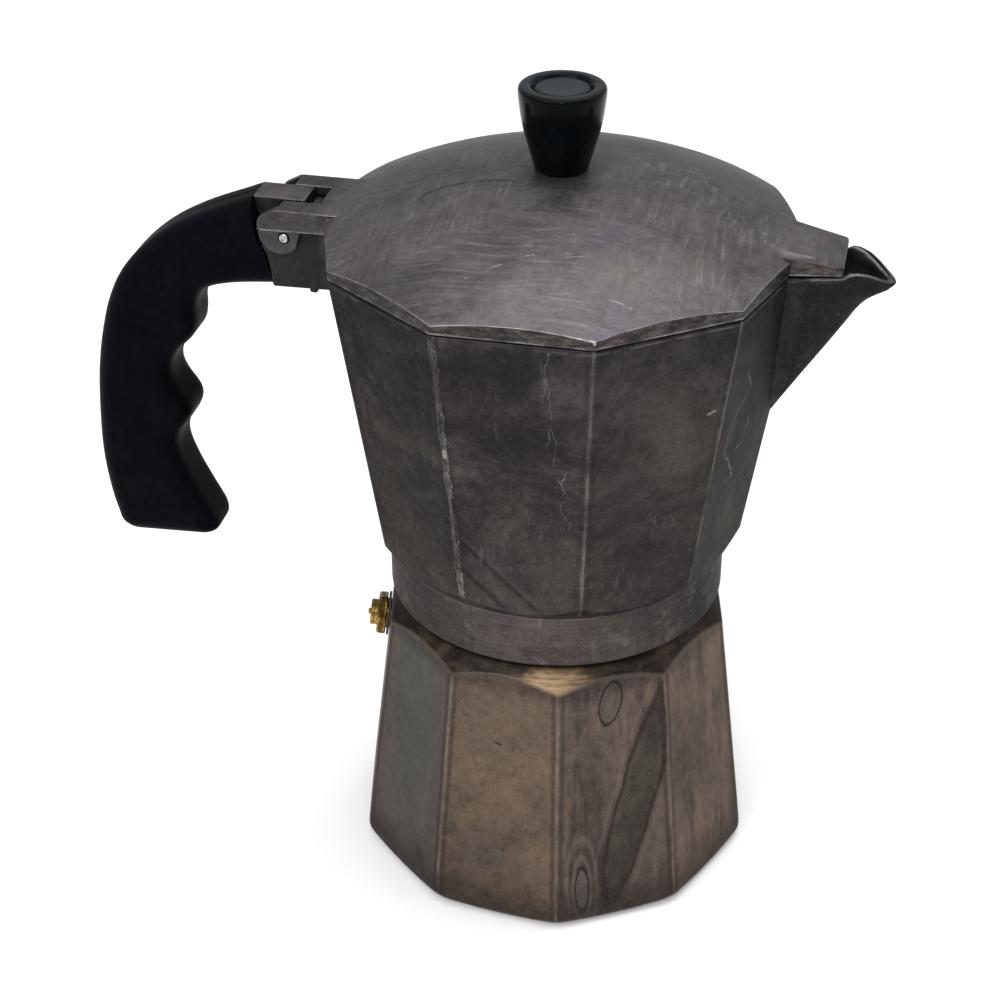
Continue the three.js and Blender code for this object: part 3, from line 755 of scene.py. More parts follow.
def blend_patch(name, xs, top_of, outline, k):
    """Height-field filler whose top is a rounded meeting of the dome and top_of(x, y), cut to an outline."""
    ys = [-18 + 0.6 * i for i in range(61)]
    verts, faces = [], []
    for x in xs:
        for y in ys:
            a, b = dome_z(math.hypot(x, y)), top_of(x, y)
            h = max(k - abs(a - b), 0.0) / k
            verts.append((x, y, max(a, b) + h * h * k / 4 - 0.025))
    m, q = len(xs), len(ys)
    for x in xs:
        for y in ys:
            verts.append((x, y, 198.2))
    for i in range(m - 1):
        for j in range(q - 1):
            a = i * q + j
            faces.append((a, a + q, a + q + 1, a + 1))
            a += m * q
            faces.append((a, a + 1, a + q + 1, a + q))
    for i in range(m - 1):
        a, b = i * q, i * q + m * q
        faces.append((a, b, b + q, a + q))
        a, b = a + q - 1, b + q - 1
        faces.append((a, a + q, b + q, b))
    for j in range(q - 1):
        a, b = j, j + m * q
        faces.append((a, a + 1, b + 1, b))
        a, b = (m - 1) * q + j, (m - 1) * q + j + m * q
        faces.append((a, b, b + 1, a + 1))
    o = make(name, verts, faces)
    n = len(outline)
    cut = make(name + "_cut", [(x, y, 190) for x, y in outline] + [(x, y, 212) for x, y in outline],
               [tuple(range(n))[::-1], tuple(range(n, 2 * n))] + [(i, (i + 1) % n, n + (i + 1) % n, n + i) for i in range(n)])
    for ob in (o, cut):
        bm = bmesh.new()
        bm.from_mesh(ob.data)
        bmesh.ops.recalc_face_normals(bm, faces=bm.faces)
        bm.to_mesh(ob.data)
        bm.free()
    boolean(o, cut, "INTERSECT")
    return o


def tongue_top(x, y):
    z = 202.25 + (58 - x) * 0.06 if x < 58 else 202.25 - (x - 58) * 0.03 - (x - 58) ** 2 * 0.0078
    return z - 0.75 * max(abs(y) - 8.5 + max(x - 62, 0) * 0.1, 0) ** 1.6


def ear_top(x, y):
    return 203.0 - 0.9 * max(abs(y) - 11.2, 0) ** 1.6


half = [(46, 17), (60.7, 17), (62.1, 12.0), (68.0, 11.0), (69.0, 10.2)]
boolean(lid, blend_patch("tongue_blend", [45 + 0.6 * i for i in range(44)], tongue_top, half + [(x, -y) for x, y in reversed(half)], 3.0), "UNION")
half = [(-47, 17), (-60.7, 17), (-62.1, 12.3), (-65.3, 12.2)]
boolean(lid, blend_patch("ear_blend", [-67 + 0.6 * i for i in range(38)], ear_top, half + [(x, -y) for x, y in reversed(half)], 2.4), "UNION")
boolean(lid, lathe("lid_hollow", [(0, 190), (61, 190), (61, LID_Z + 2.2)] + [(r_, dome_z(r_) - 2.4) for r_ in (56, 50, 40, 30, 20, 10)] + [(0, DOME_TOP - 2.4)], 96))
boolean(lid, rod_y("slot", 9.75, PIN_X, PIN_Z, -5.7, 5.7, 96))
for s in (-1, 1):
    y0, y1 = sorted((5.69 * s, 10.0 * s))
    g = rod_y("gap", 9.3, PIN_X, PIN_Z, y0, y1, 96)
    boolean(g, box_solid("above", -100, -50, -20, 20, 199.9, 210))
    boolean(lid, g)
boolean(lid, rod_y("pin_in_lid", PIN_R + 0.3, PIN_X, PIN_Z, -20, 20, 48))
boolean(lid, lathe("screw_in_lid", [(0, 205), (2.4, 205), (2.4, 220), (0, 220)], 48))
clean(lid)
smooth(lid, 33)

# ---------------------------------------------------------------- hinge pin: peened end with a ring pressed into it
pin_prof = [(0, -12.6), (0.35, -12.6), (0.45, -12.45), (0.62, -12.45), (0.72, -12.6), (1.05, -12.55), (1.32, -12.3), (1.4, -12.05)]
pin_prof = pin_prof + [(1.4, 0)] + [(r_, -z) for r_, z in reversed(pin_prof)]
pin = lathe("hinge_pin_turned", pin_prof, 48)
pin.data.transform(Matrix.Translation((PIN_X * MM, 0, PIN_Z * MM)) @ Matrix.Rotation(math.radians(90), 4, "X"))
smooth(pin, 40)

# ---------------------------------------------------------------- handle: sections lofted along its length
OUT = spline([(-76, 205.4), (-80.5, 204.6), (-85.4, 203.0), (-90, 201.1), (-96.7, 198.5), (-103.4, 195.5), (-111, 191.3), (-118, 186), (-123.8, 180),
              (-127.9, 174.2), (-131.4, 166.5), (-133.8, 158.5), (-135.6, 150.5), (-137, 141.5), (-138, 130), (-138.5, 119), (-138.1, 109.5),
              (-136.9, 100.5), (-135.3, 93.2), (-134, 84)], 6)
INN = spline([(-74, 178.0), (-79.9, 177.6), (-87.5, 176.9), (-93, 176.1), (-98, 174.9), (-101.6, 173), (-103.8, 170), (-104.8, 166.5), (-104.9, 163),
              (-105.6, 159.3), (-107.7, 156.2), (-110.6, 153.5), (-113, 150), (-114.1, 146.2), (-113.6, 142.5), (-111.7, 138.8), (-109.4, 135.4),
              (-108.9, 132.5), (-110.4, 129), (-112.8, 125.8), (-114.2, 121.6), (-113.8, 117), (-111.5, 110.3), (-108.2, 103.2), (-105.3, 97.4),
              (-102.5, 91.5), (-99.5, 84)], 6)
SPINE = spline([(-76, 191.6), (-83, 190.6), (-92, 188.4), (-101, 185), (-108.5, 179.8), (-114, 173), (-117.6, 165), (-120.2, 156), (-122.4, 146.5),
                (-124.2, 136), (-125.2, 126), (-125.3, 117), (-124, 108.5), (-121.6, 100), (-119.2, 92.6), (-117, 85)], 12)


def crossing(p, d, line_):
    best = None
    for a, b in zip(line_, line_[1:]):
        e = b - a
        den = d[0] * e[1] - d[1] * e[0]
        if abs(den) < 1e-9:
            continue
        w = a - p
        t = (w[0] * e[1] - w[1] * e[0]) / den
        s = (w[0] * d[1] - w[1] * d[0]) / den
        if -1e-6 <= s <= 1 + 1e-6 and t > 0 and (best is None or t < best):
            best = t
    return best


HALF_W, EDGE = 9.7, 5.6
sections = []
sp = np.array(SPINE)
seg = np.r_[0, np.cumsum(np.linalg.norm(np.diff(sp, axis=0), axis=1))]
total = seg[-1]
end_s = None
stations = list(np.arange(0, total - 0.01, 1.25))


def spine_at(s):
    return np.array([np.interp(s, seg, sp[:, 0]), np.interp(s, seg, sp[:, 1])])


# the tail ends on a nearly flat foot; find where the spine passes z 90
s_end = float(np.interp(-90.1, -sp[:, 1], seg))
stations = [s for s in stations if s < s_end - 5.2] + [s_end - 5.2 + 5.2 * math.sin(math.radians(a_)) for a_ in range(0, 91, 10)]
for s in stations:
    p = spine_at(s)
    d0 = spine_at(min(s + 1.5, total)) - spine_at(max(s - 1.5, 0))
    d0 /= np.linalg.norm(d0)
    # turn the last sections level with the foot
    k = min(1, max(0, (s - (s_end - 22)) / 20))
    flat = np.array([0.045, -1.0]) / np.linalg.norm([0.045, -1.0])
    d0 = d0 * (1 - k) + flat * k
    d0 /= np.linalg.norm(d0)
    nrm = np.array([d0[1], -d0[0]])  # towards the outer curve
    to = crossing(p, nrm, OUT)
    ti = crossing(p, -nrm, INN)
    to = 12.0 if to is None else to
    ti = 12.0 if ti is None else ti
    left = s_end - s
    shrink = 0.0
    er = 5.2
    if left < er:
        shrink = er - math.sqrt(max(0, er * er - (er - left) ** 2))
    sections.append((p, d0, nrm, to, ti, shrink))


def handle_ring(p, nrm, to, ti, shrink):
    a0, a1 = -ti + shrink * 0.75, to - shrink * 0.85
    w = HALF_W - shrink * 0.85
    mid, ha = (a0 + a1) / 2, (a1 - a0) / 2
    e = max(0.3, min(EDGE - 0.6 * shrink, ha - 0.2, w - 0.2))
    pts = []
    for (sx, sy, a_) in ((1, 1, 0), (-1, 1, 90), (-1, -1, 180), (1, -1, 270)):
        for q in range(9):
            t = math.radians(a_ + 90 * q / 8)
            pts.append((mid + sx * (ha - e) + e * math.cos(t), sy * (w - e) + e * math.sin(t)))
        # points along the straight side that follows
        nx_ = {0: (-1, 1), 90: (-1, -1), 180: (1, -1), 270: (1, 1)}[a_]
        end = pts[-1]
        start2 = {0: (mid - (ha - e), w), 90: (mid - ha, -(w - e)), 180: (mid + (ha - e), -w), 270: (mid + ha, (w - e))}[a_]
        for q in (1, 2, 3):
            pts.append((end[0] + (start2[0] - end[0]) * q / 4, end[1] + (start2[1] - end[1]) * q / 4))
    return [(p[0] + nrm[0] * u, v, p[1] + nrm[1] * u) for u, v in pts]


rings = [handle_ring(p, nrm, to, ti, sh) for p, d0, nrm, to, ti, sh in sections]
nr = len(rings[0])
verts = [v for r_ in rings for v in r_]
faces = [tuple(range(nr))[::-1], tuple(range(len(verts) - nr, len(verts)))]
for i in range(len(rings) - 1):
    for k in range(nr):
        a, b = i * nr + k, i * nr + (k + 1) % nr
        faces.append((a, b, b + nr, a + nr))
handle = make("handle_grip", verts, faces)
# front end follows the casting it is screwed to
seam = [(-40, 215), (-85.35, 215), (-85.35, 203.3), (-84.7, 199), (-83.95, 194.6), (-83.6, 191.5), (-82.6, 190.2), (-81.3, 188.2), (-80.2, 183), (-79.9, 177.6),
        (-79.7, 165), (-40, 165)]
boolean(handle, plate("seam", seam, -20, 20))
# parting line along the crown
crown = [(-86, 203.4), (-90, 201.8), (-96.7, 199.2), (-103.8, 196.0)]
groove = plate("groove", [(-84, 205.5), (-86.5, 201.9), (-90, 200.5), (-96.7, 197.8), (-100, 196.4), (-104.6, 195.0), (-104, 199.5)], -0.32, 0.32)
boolean(handle, groove)
boolean(handle, plate("tang", round_corners([(-86, 181.35), (-66, 181.35), (-66, 190.2), (-86, 190.2)], [0, 0.8, 0.8, 0], 3), -4.95, 4.95, 0.4, 2), "UNION")
sc = lathe("screw_in_handle", [(0, 177), (1.8, 177), (1.8, 185.75), (0, 185.75)], 32)
sc.data.transform(Matrix.Translation((-70.2 * MM, 0, 0)))
boolean(handle, sc)
clean(handle)
smooth(handle, 38)

# ---------------------------------------------------------------- knob and the disc set in its top
knob_prof = round_corners(
    [(0, 217.2), (7.35, 217.2), (7.75, 219.0), (8.8, 222.6), (9.95, 226.6), (10.85, 230.6), (11.4, 234.6), (11.7, 237.4), (11.7, 239.9), (8.6, 239.9), (7.55, 238.25), (0, 238.25)],
    [0, 0.7, 2, 6, 12, 12, 6, 2.0, 2.1, 1.2, 0.3, 0], 7)
knob = lathe("knob_turned", knob_prof, 96)
boolean(knob, lathe("knob_bore", [(0, 216), (4.3, 216), (4.3, 232.4), (0, 232.4)], 48))
smooth(knob, 40)
cap_prof = round_corners([(0, 238.45), (7.3, 238.45), (7.35, 238.95), (6.7, 239.3), (4.0, 239.18), (0, 239.1)], [0, 0.2, 0.35, 1.2, 3, 0], 5)
knob_cap = lathe("knob_disc", cap_prof, 96)
smooth(knob_cap, 50)

# ---------------------------------------------------------------- safety valve
def hex_profile(theta):
    a = (math.degrees(theta) + 30) % 60 - 30
    rc = 11.5 / math.sqrt(3)
    rp = rc * math.cos(math.radians(30)) / math.cos(math.radians(30) - math.radians(abs(a)))
    rp = min(rp, rc - 0.12)
    ch = max(0.0, rp - 5.75) * 0.55
    pts = [(1.7, -7), (4.6, -7), (4.6, 1.3), (rp - 0.25, 1.3), (rp, 1.55 + ch)]
    zs = []
    for k in range(5):
        z = 1.85 + ch + (3.55 - ch - 1.85 - ch) * k / 5
        z1 = 1.85 + ch + (3.55 - ch - 1.85 - ch) * (k + 1) / 5
        zs += [(rp, z), (rp - 0.13, (z + z1) / 2)]
    pts += zs + [(rp, 3.65 - ch), (rp - 0.35, 4.1 - 0.3 * ch), (3.9, 4.1), (3.9, 5.0), (3.78, 5.1), (3.9, 5.2), (3.9, 5.85), (3.5, 6.2), (3.0, 6.2), (3.0, -5.5), (1.7, -5.5)]
    return pts


hx = sorted(set([0, 1.5, 3, 4.5, 6, 9, 13, 18, 24, 30]))
hx = sorted(set([-x for x in hx if 0 < x < 30] + hx))
valve = column_solid("valve_turned", [math.radians(60 * k + x) for k in range(6) for x in hx], hex_profile)
in_valve_frame(valve)
smooth(valve, 28)
plunger = in_valve_frame(lathe("valve_pin", round_corners([(0, -5.2), (2.5, -5.2), (2.5, -4.2), (0.9, -4.2), (0.9, 6.9), (0, 6.9)], [0, 0.2, 0.2, 0.1, 0.35, 0], 3), 40))
smooth(plunger, 40)
v_cap = in_valve_frame(lathe("valve_cap_turned", round_corners([(1.25, 4.4), (2.7, 4.4), (2.7, 5.8), (1.25, 5.8)], [0, 0.2, 0.25, 0.2], 3), 48))
smooth(v_cap, 40)

# ---------------------------------------------------------------- riser, its cap and the screw under the handle
column = lathe("riser", round_corners([(4.5, 105.3), (6, 105.3), (6, 110.7), (10.5, 110.7), (10.5, 112), (8, 114), (7, 170), (4.5, 170)],
                                      [0, 0.2, 0.3, 0.4, 0.5, 3, 0.5, 0.4], 4), 72)
smooth(column, 40)
col_cap = lathe("riser_cap", round_corners([(0, 178.6), (3.6, 178), (6.4, 175.6), (7, 173.9), (7, 170.3), (5.6, 170.3), (5.6, 173.6), (3.2, 176.4), (0, 176.9)],
                                           [0, 3, 2, 1, 0.3, 0.3, 1, 2, 0], 5), 72)
boolean(col_cap, box_solid("cap_slot", -9, 9, -2.4, 2.4, 169.5, 173.4))
smooth(col_cap, 40)
h_screw = lathe("bracket_screw", round_corners([(0, 176.6), (0.9, 176.6), (0.9, 176.2), (2.2, 176.2), (2.7, 176.8), (2.7, 178.1), (1.5, 178.1), (1.5, 185.2), (0, 185.2)],
                                               [0, 0, 0.1, 0.3, 0.5, 0.2, 0.2, 0.3, 0], 3), 40)
h_screw.data.transform(Matrix.Translation((-70.2 * MM, 0, 0)))
smooth(h_screw, 40)

# ---------------------------------------------------------------- what rides on what
for o, body, node, slot in (
        (boiler, "boiler", "boiler", "boiler_aluminium"), (collector, "collector", "collector", "collector_aluminium"),
        (lid, "lid", "lid", "lid_aluminium"), (handle, "collector", "handle", "handle_bakelite"), (pin, "collector", "hinge_pin", "steel"),
        (knob, "lid", "knob", "knob_bakelite"), (knob_cap, "lid", "knob_cap", "knob_bakelite"), (valve, "boiler", "valve_body", "brass"),
        (plunger, "valve_plunger", "valve_plunger", "brass"), (v_cap, "boiler", "valve_cap", "brass"),
        (column, "collector", "column", "inner_aluminium"), (col_cap, "collector", "column_cap", "inner_aluminium"),
        (h_screw, "collector", "handle_screw", "dark_screw")):
    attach(o, body)
    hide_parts(node)


# ---------------------------------------------------------------- materials
def up(M):
    """How far the surface faces up, in the piece's own space."""
    t_ = M.nt.nodes.new("ShaderNodeTexCoord")
    x_ = M.nt.nodes.new("ShaderNodeSeparateXYZ")
    M.nt.links.new(t_.outputs["Normal"], x_.inputs[0])
    return x_.outputs[2]


class warped:
    """While it holds, the material's coordinates are bent by noise, so lines drawn in it wander."""

    def __init__(self, M, scale, amount, seed=0.0):
        self.M, self.old = M, M.P
        n = M.noise(scale, 3, 0.6, vec=M.mapped(loc=(seed, seed, seed)), out="Color")
        M.P = M.vec("ADD", self.old, M.vscale(M.vec("SUBTRACT", n, (0.5, 0.5, 0.5)), amount))

    def __enter__(self):
        return self

    def __exit__(self, *k):
        self.M.P = self.old


class flat:
    """While it holds, distances are measured in the plane square to n."""

    def __init__(self, M, n):
        self.M, self.old, self.n = M, M.P, Vector(n).normalized()
        d = M.vec("DOT_PRODUCT", M.P, tuple(self.n), out="Value")
        M.P = M.vec("SUBTRACT", M.P, M.vscale_by(tuple(self.n), d))

    def line(self, pts):
        return self.M.line([tuple(Vector(q) - self.n * Vector(q).dot(self.n)) for q in pts])

    def __enter__(self):
        return self

    def __exit__(self, *k):
        self.M.P = self.old


def speckle(M, col, dark="1e1b1c", light="bdb7b2", a=0.34):
    """Cast and worn grain at three sizes."""
    g1 = M.noise(1.1, 4, 0.75)
    g2 = M.noise(2.6, 3, 0.7, vec=M.mapped(loc=(7, 3, 1)))
    g3 = M.noise(0.3, 5, 0.75, vec=M.mapped(loc=(1, 13, 5)))
    col = M.mix(M.mul(M.step(g1, 0.47, 0.33), a), col, hexc(dark))
    col = M.mix(M.mul(M.step(g1, 0.54, 0.7), a * 0.6), col, hexc(light))
    col = M.mix(M.mul(M.step(g2, 0.46, 0.32), a * 0.8), col, hexc(dark))
    col = M.mix(M.mul(M.step(g2, 0.56, 0.72), a * 0.5), col, hexc(light))
    col = M.mix(M.mul(M.step(g3, 0.48, 0.36), a * 0.9), col, hexc(dark))
    col = M.mix(M.mul(M.step(g3, 0.54, 0.68), a * 0.35), col, hexc(light))
    return col


def scaled(h, k):
    return tuple(min(1, c * k) for c in hexc(h))


def scratches(M, scale, width, amount, rot=(0, 0, 0), seed=0.0, stretch=(1, 1, 1), mask_scale=0.05):
    """Sparse hairlines: the borders of large distorted cells, broken up by noise."""
    v = M.mapped(scale=stretch, rot=rot, loc=(seed, seed * 1.7, -seed))
    d = M.voronoi(scale, vec=M.vec("ADD", v, M.vscale(M.vec("SUBTRACT", M.noise(0.25, 2, 0.5, vec=v, out="Color"), (0.5, 0.5, 0.5)), 5.0)), feature="DISTANCE_TO_EDGE")
    line_ = M.step(d, 0.0, width, 1.0, 0.0)
    mask = M.step(M.noise(mask_scale, 3, 0.6, vec=M.mapped(loc=(seed * 3.1, 7, seed))), 0.62 - amount * 0.2, 0.7, 0.0, 1.0)
    broken = M.step(M.noise(0.9, 2, 0.5), 0.38, 0.6, 0.0, 1.0)
    return M.mul(line_, mask, broken)


def brushed(M, vec_scale, strength=1.0, seed=0.0, rot=(0, 0, 0)):
    v = M.mapped(scale=vec_scale, rot=rot, loc=(seed, -seed, seed))
    return M.noise(1.0, 3, 0.65, vec=v)


def aluminium(name, twist=None, kind="collector", marks=None):
    M = Mat(name)
    big = M.noise(0.019, 4, 0.55, dist=0.4)
    mid = M.noise(0.075, 5, 0.6, vec=M.mapped(loc=(13, 5, 3)), dist=0.7)
    fine = M.noise(0.42, 4, 0.6)
    grain = M.noise(3.2, 3, 0.6)
    tone = M.add(M.mul(big, 0.42), M.mul(mid, 0.38), M.mul(fine, 0.2))
    return M, big, mid, fine, grain, tone


# ---- collector: charcoal, blotched, hairline scratches, pale worn corners
M, big, mid, fine, grain, tone = aluminium("collector_metal")
CD, near, facet, Zc, Rc = M.corner_distance(0.0)
col = M.ramp(tone, [(0.38, hexc("302c32")), (0.46, hexc("4c474a")), (0.54, hexc("655f5c")), (0.64, hexc("8d8682"))])
blue = M.step(M.noise(0.03, 3, 0.5, vec=M.mapped(loc=(40, 11, 9))), 0.5, 0.66)
col = M.mix(M.mul(blue, 0.55), col, hexc("4a464f"))
olive = M.step(M.noise(0.034, 3, 0.55, vec=M.mapped(loc=(-17, 31, 4))), 0.5, 0.68)
col = M.mix(M.mul(olive, 0.5), col, hexc("5d5a51"))
brown = M.step(M.noise(0.045, 4, 0.6, vec=M.mapped(loc=(9, -23, 14))), 0.56, 0.74)
col = M.mix(M.mul(brown, 0.42), col, hexc("6a5a50"))
# soft wipe marks, slanting
wipe = M.noise(1.0, 3, 0.6, vec=M.mapped(scale=(0.03, 0.03, 0.35), rot=(0, 32, 20)))
col = M.mix(M.mul(M.step(wipe, 0.52, 0.72), 0.3), col, hexc("7d7777"))
# facets differ in brightness: each facet's colour scaled on its own, painted light and shade by facet
per = M.ramp(M.math("MULTIPLY_ADD", facet, 0.1, 0.05), [(0.0, (0.95,) * 3), (0.1, (0.9,) * 3), (0.2, (1.08,) * 3), (0.3, (0.94,) * 3), (0.4, (1.0,) * 3), (0.5, (1.1,) * 3),
                                                       (0.6, (0.84,) * 3), (0.7, (1.22, 1.2, 1.2)), (0.8, (0.84, 0.83, 0.81)), (0.9, (0.6, 0.6, 0.58))], "CONSTANT")
col = M.mix(1.0, col, per, "MULTIPLY")
# lower part and skirt a little lighter and warmer
low = M.step(Zc, 106.5, 103.5)
col = M.mix(M.mul(low, 0.5), col, hexc("6f6764"))
lower = M.step(Zc, 150, 115)
col = M.mix(M.mul(lower, 0.22), col, hexc("6a6460"))
# a band left by a wipe across one facet, and the dark lines beside the corner
band = M.segment((60.0, -30.5, 167.0), (19.0, -56.0, 145.5))
band = M.mul(M.step(M.add(band, M.mul(M.math("SUBTRACT", mid, 0.5), 9)), 10.5, 4.0), M.step(Rc, 47, 50), M.step(M.math("SUBTRACT", facet, 8.0), 0.6, 0.4), M.step(facet, 7.4, 7.6))
col = M.mix(M.mul(band, 0.34), col, hexc("857f7d"))
dl = M.math("MINIMUM", M.segment((-17.2, -54.5, 132.0), (3.6, -51.2, 109.5)), M.segment((-18.0, -52.9, 122.5), (-5.0, -50.9, 109.0)))
col = M.mix(M.mul(M.step(M.add(dl, M.mul(fine, 0.8)), 1.75, 0.35), 0.72), col, hexc("2c292b"))
dlh = M.segment((-16.4, -54.5, 132.8), (4.6, -51.4, 110.3))
col = M.mix(M.mul(M.step(M.add(dlh, M.mul(fine, 0.7)), 1.0, 0.5), 0.25), col, hexc("8b8583"))
# dark pits and faint round stains
pits = M.voronoi(0.11, vec=M.mapped(loc=(3, 8, 1)), random=1.0)
pm = M.mul(M.step(pits, 0.13, 0.03), M.step(M.noise(0.04, 2, 0.5, vec=M.mapped(loc=(5, 5, 50))), 0.5, 0.6))
col = M.mix(M.mul(pm, 0.5), col, hexc("2f2b2c"))
# placed scratches
sxx = M.nt.nodes.new("ShaderNodeSeparateXYZ")
M.nt.links.new(M.P, sxx.inputs[0])
with warped(M, 0.5, 2.6, 4.0), flat(M, (0, -1, 0)) as fl:
    s1 = fl.line([(9.6, -63.3, 195.0), (8.2, -62.4, 189.3), (9.0, -61.8, 184.5), (9.6, -60.4, 174.7), (8.5, -59.1, 165.6)])
    s1b = fl.line([(7.0, -63.0, 192.5), (8.2, -62.0, 186.0), (7.2, -61.2, 178.5)])
    s2 = fl.line([(9.2, -60.2, 173.1), (10.8, -59.3, 166.9), (9.9, -58.5, 160.3)])
    s3 = fl.line([(13.0, -57.9, 158.0), (11.7, -57.2, 152.6), (13.6, -56.9, 150.0), (11.3, -56.4, 146.5), (12.7, -56.0, 142.0)])
    s3b = fl.line([(10.8, -57.6, 156.0), (12.7, -57.1, 152.0), (11.0, -56.7, 148.0)])
scr = M.math("MINIMUM", M.math("MINIMUM", s1, s1b), M.math("MINIMUM", s2, M.math("MINIMUM", s3, s3b)))
scr = M.mul(M.step(scr, 0.26, 0.08), M.step(facet, 6.4, 6.6), M.step(facet, 7.6, 7.4), M.lin(M.noise(0.28, 3, 0.6), 0.36, 0.54, 0.0, 1.0))
with warped(M, 0.3, 2.6, 9.0), flat(M, (0.951, -0.309, 0)) as fl:
    loop = fl.line([(55.1, -26.4, 175.5), (55.9, -20.7, 168.6), (52.6, -27.8, 162.1), (51.1, -29.8, 156.4), (50.5, -29.3, 151.4), (51.5, -23.9, 146.2), (51.9, -19.6, 139.5), (50.5, -23.7, 139.3)])
    loop2 = fl.line([(55.4, -16.8, 156.9), (54.1, -17.7, 149.8), (52.7, -21.4, 148.6)])
loop = M.math("MINIMUM", loop, loop2)
loop = M.mul(M.step(loop, 0.34, 0.1), M.step(facet, 8.4, 8.6), M.step(sxx.outputs[0], 30, 34), M.lin(M.noise(0.3, 3, 0.6), 0.34, 0.5, 0.1, 1.0))
hair = M.top(scratches(M, 0.035, 0.004, 0.9, seed=3.0, stretch=(1, 1, 0.6)), M.mul(scratches(M, 0.06, 0.006, 0.7, rot=(20, 50, 0), seed=11.0, stretch=(1, 0.4, 1)), 0.7))
specks = M.top(M.step(M.segment((-18.9, -58.5, 158.9), (-18.9, -58.5, 160.6)), 0.95, 0.55), M.step(M.segment((46.6, -39.6, 169.2), (48.2, -38.6, 169.9)), 0.5, 0.2))
tiny = M.mul(M.step(M.voronoi(0.16, vec=M.mapped(loc=(31, 2, 8))), 0.045, 0.02), M.step(M.noise(0.06, 2, 0.5, vec=M.mapped(loc=(2, 51, 8))), 0.55, 0.62))
col = M.mix(M.mul(M.top(scr, loop), 0.75), col, hexc("cfcac6"))
col = M.mix(M.mul(hair, 0.32), col, hexc("a8a3a0"))
col = M.mix(M.mul(tiny, 0.6), col, hexc("b8b4b0"))
# worn corners: pale, broken lines; one of them scarred
jag = M.mul(M.math("SUBTRACT", M.noise(0.5, 4, 0.7), 0.5), 2.4)
worn = M.mul(M.step(M.math("ABSOLUTE", M.add(CD, M.mul(jag, 0.35), -0.1)), 0.5, 0.08), M.step(Zc, 105.5, 108), M.lin(M.noise(0.09, 3, 0.6, vec=M.mapped(loc=(0, 0, 77))), 0.36, 0.56, 0.25, 1.0))
col = M.mix(M.mul(worn, 0.6), col, hexc("b3aca8"))
soft_edge = M.mul(M.step(M.math("ABSOLUTE", M.add(CD, M.mul(jag, 0.5), -1.4)), 1.1, 0.1), M.step(Zc, 105.5, 108))
col = M.mix(M.mul(soft_edge, 0.3), col, hexc("2f2b2c"))
on_b = M.mul(M.step(near, 6.4, 6.6), M.step(near, 7.6, 7.4))
jag2 = M.mul(M.math("SUBTRACT", M.noise(0.35, 5, 0.8, vec=M.mapped(loc=(6, 1, 2))), 0.5), 5.0)
scar = M.mul(on_b, M.step(M.math("ABSOLUTE", M.add(CD, M.mul(jag2, 0.8), -0.75)), 0.26, 0.05), M.step(Zc, 107, 109), M.lin(M.noise(0.07, 3, 0.6, vec=M.mapped(loc=(8, 0, 7))), 0.36, 0.52, 0.1, 1.0))
col = M.mix(M.mul(scar, 0.7), col, hexc("d0cac4"))
lip = M.mul(M.step(M.math("ABSOLUTE", M.add(Zc, M.mul(jag2, 0.12), -195.6)), 0.5, 0.1), M.step(Rc, 60, 62), M.lin(M.noise(0.12, 4, 0.6), 0.42, 0.56, 0.0, 1.0))
col = M.mix(M.mul(lip, 0.7), col, hexc("a8a29d"))
# turned edge where the skirt meets the facets
ring_e = M.mul(M.step(M.math("ABSOLUTE", M.math("SUBTRACT", Zc, 104.7)), 0.75, 0.1), M.step(M.noise(0.12, 3, 0.6), 0.38, 0.6), M.step(Rc, 47, 48))
col = M.mix(M.mul(ring_e, 0.5), col, hexc("a39d99"))
col = M.mix(M.mul(specks, 0.95), col, hexc("e4e0da"))
# inside: cleaner, coffee-stained
inside = M.mul(M.step(M.math("SUBTRACT", M.math("MULTIPLY_ADD", Zc, 0.1434, 35.0), Rc), 1.0, 2.2), M.step(Zc, 109, 110.2))
stain = M.ramp(M.noise(0.06, 5, 0.6, vec=M.mapped(scale=(1, 1, 0.5))), [(0.3, hexc("4a3a2c")), (0.5, hexc("75685a")), (0.7, hexc("9a938a"))])
col = M.mix(M.mul(inside, 0.75), col, stain)
# the spout's flank and hollow are painted dark: painted shade
spout = M.mul(M.step(M.math("SUBTRACT", Rc, M.math("MULTIPLY_ADD", Zc, 0.1508, 37.2)), 0.4, 3.0), M.step(Zc, 140, 150))
sx = M.nt.nodes.new("ShaderNodeSeparateXYZ"); M.nt.links.new(M.P, sx.inputs[0])
spout = M.mul(spout, M.step(sx.outputs[0], 40, 60))
col = M.mix(M.mul(spout, 0.6), col, hexc("2b2b33"))
nz = up(M)
# painted highlight: the up-facing lip of the spout painted bright
spout_lip_highlight = M.mul(M.step(nz, 0.45, 0.8), M.step(sx.outputs[0], 66, 70), M.step(Zc, 190, 193))
col = M.mix(M.mul(spout_lip_highlight, 0.85), col, hexc("c4c2c2"))
blot = M.noise(0.024, 5, 0.62, vec=M.mapped(loc=(61, 20, -12)), dist=0.9)
col = M.mix(M.mul(M.step(blot, 0.5, 0.4), 0.5), col, hexc("37323b"))
col = M.mix(M.mul(M.step(blot, 0.53, 0.64), 0.38), col, hexc("827c72"))
dk = M.step(M.add(M.segment((-8.0, -60.0, 186.0), (4.0, -59.0, 172.0)), M.mul(M.math("SUBTRACT", mid, 0.5), 30)), 17, 7)
col = M.mix(M.mul(dk, 0.55), col, hexc("353039"))
lt = M.step(M.add(M.segment((33.0, -50.0, 176.0), (40.0, -44.0, 160.0)), M.mul(M.math("SUBTRACT", mid, 0.5), 24)), 10, 3)
col = M.mix(M.mul(lt, M.step(facet, 7.5, 7.6), 0.4), col, hexc("8a8478"))
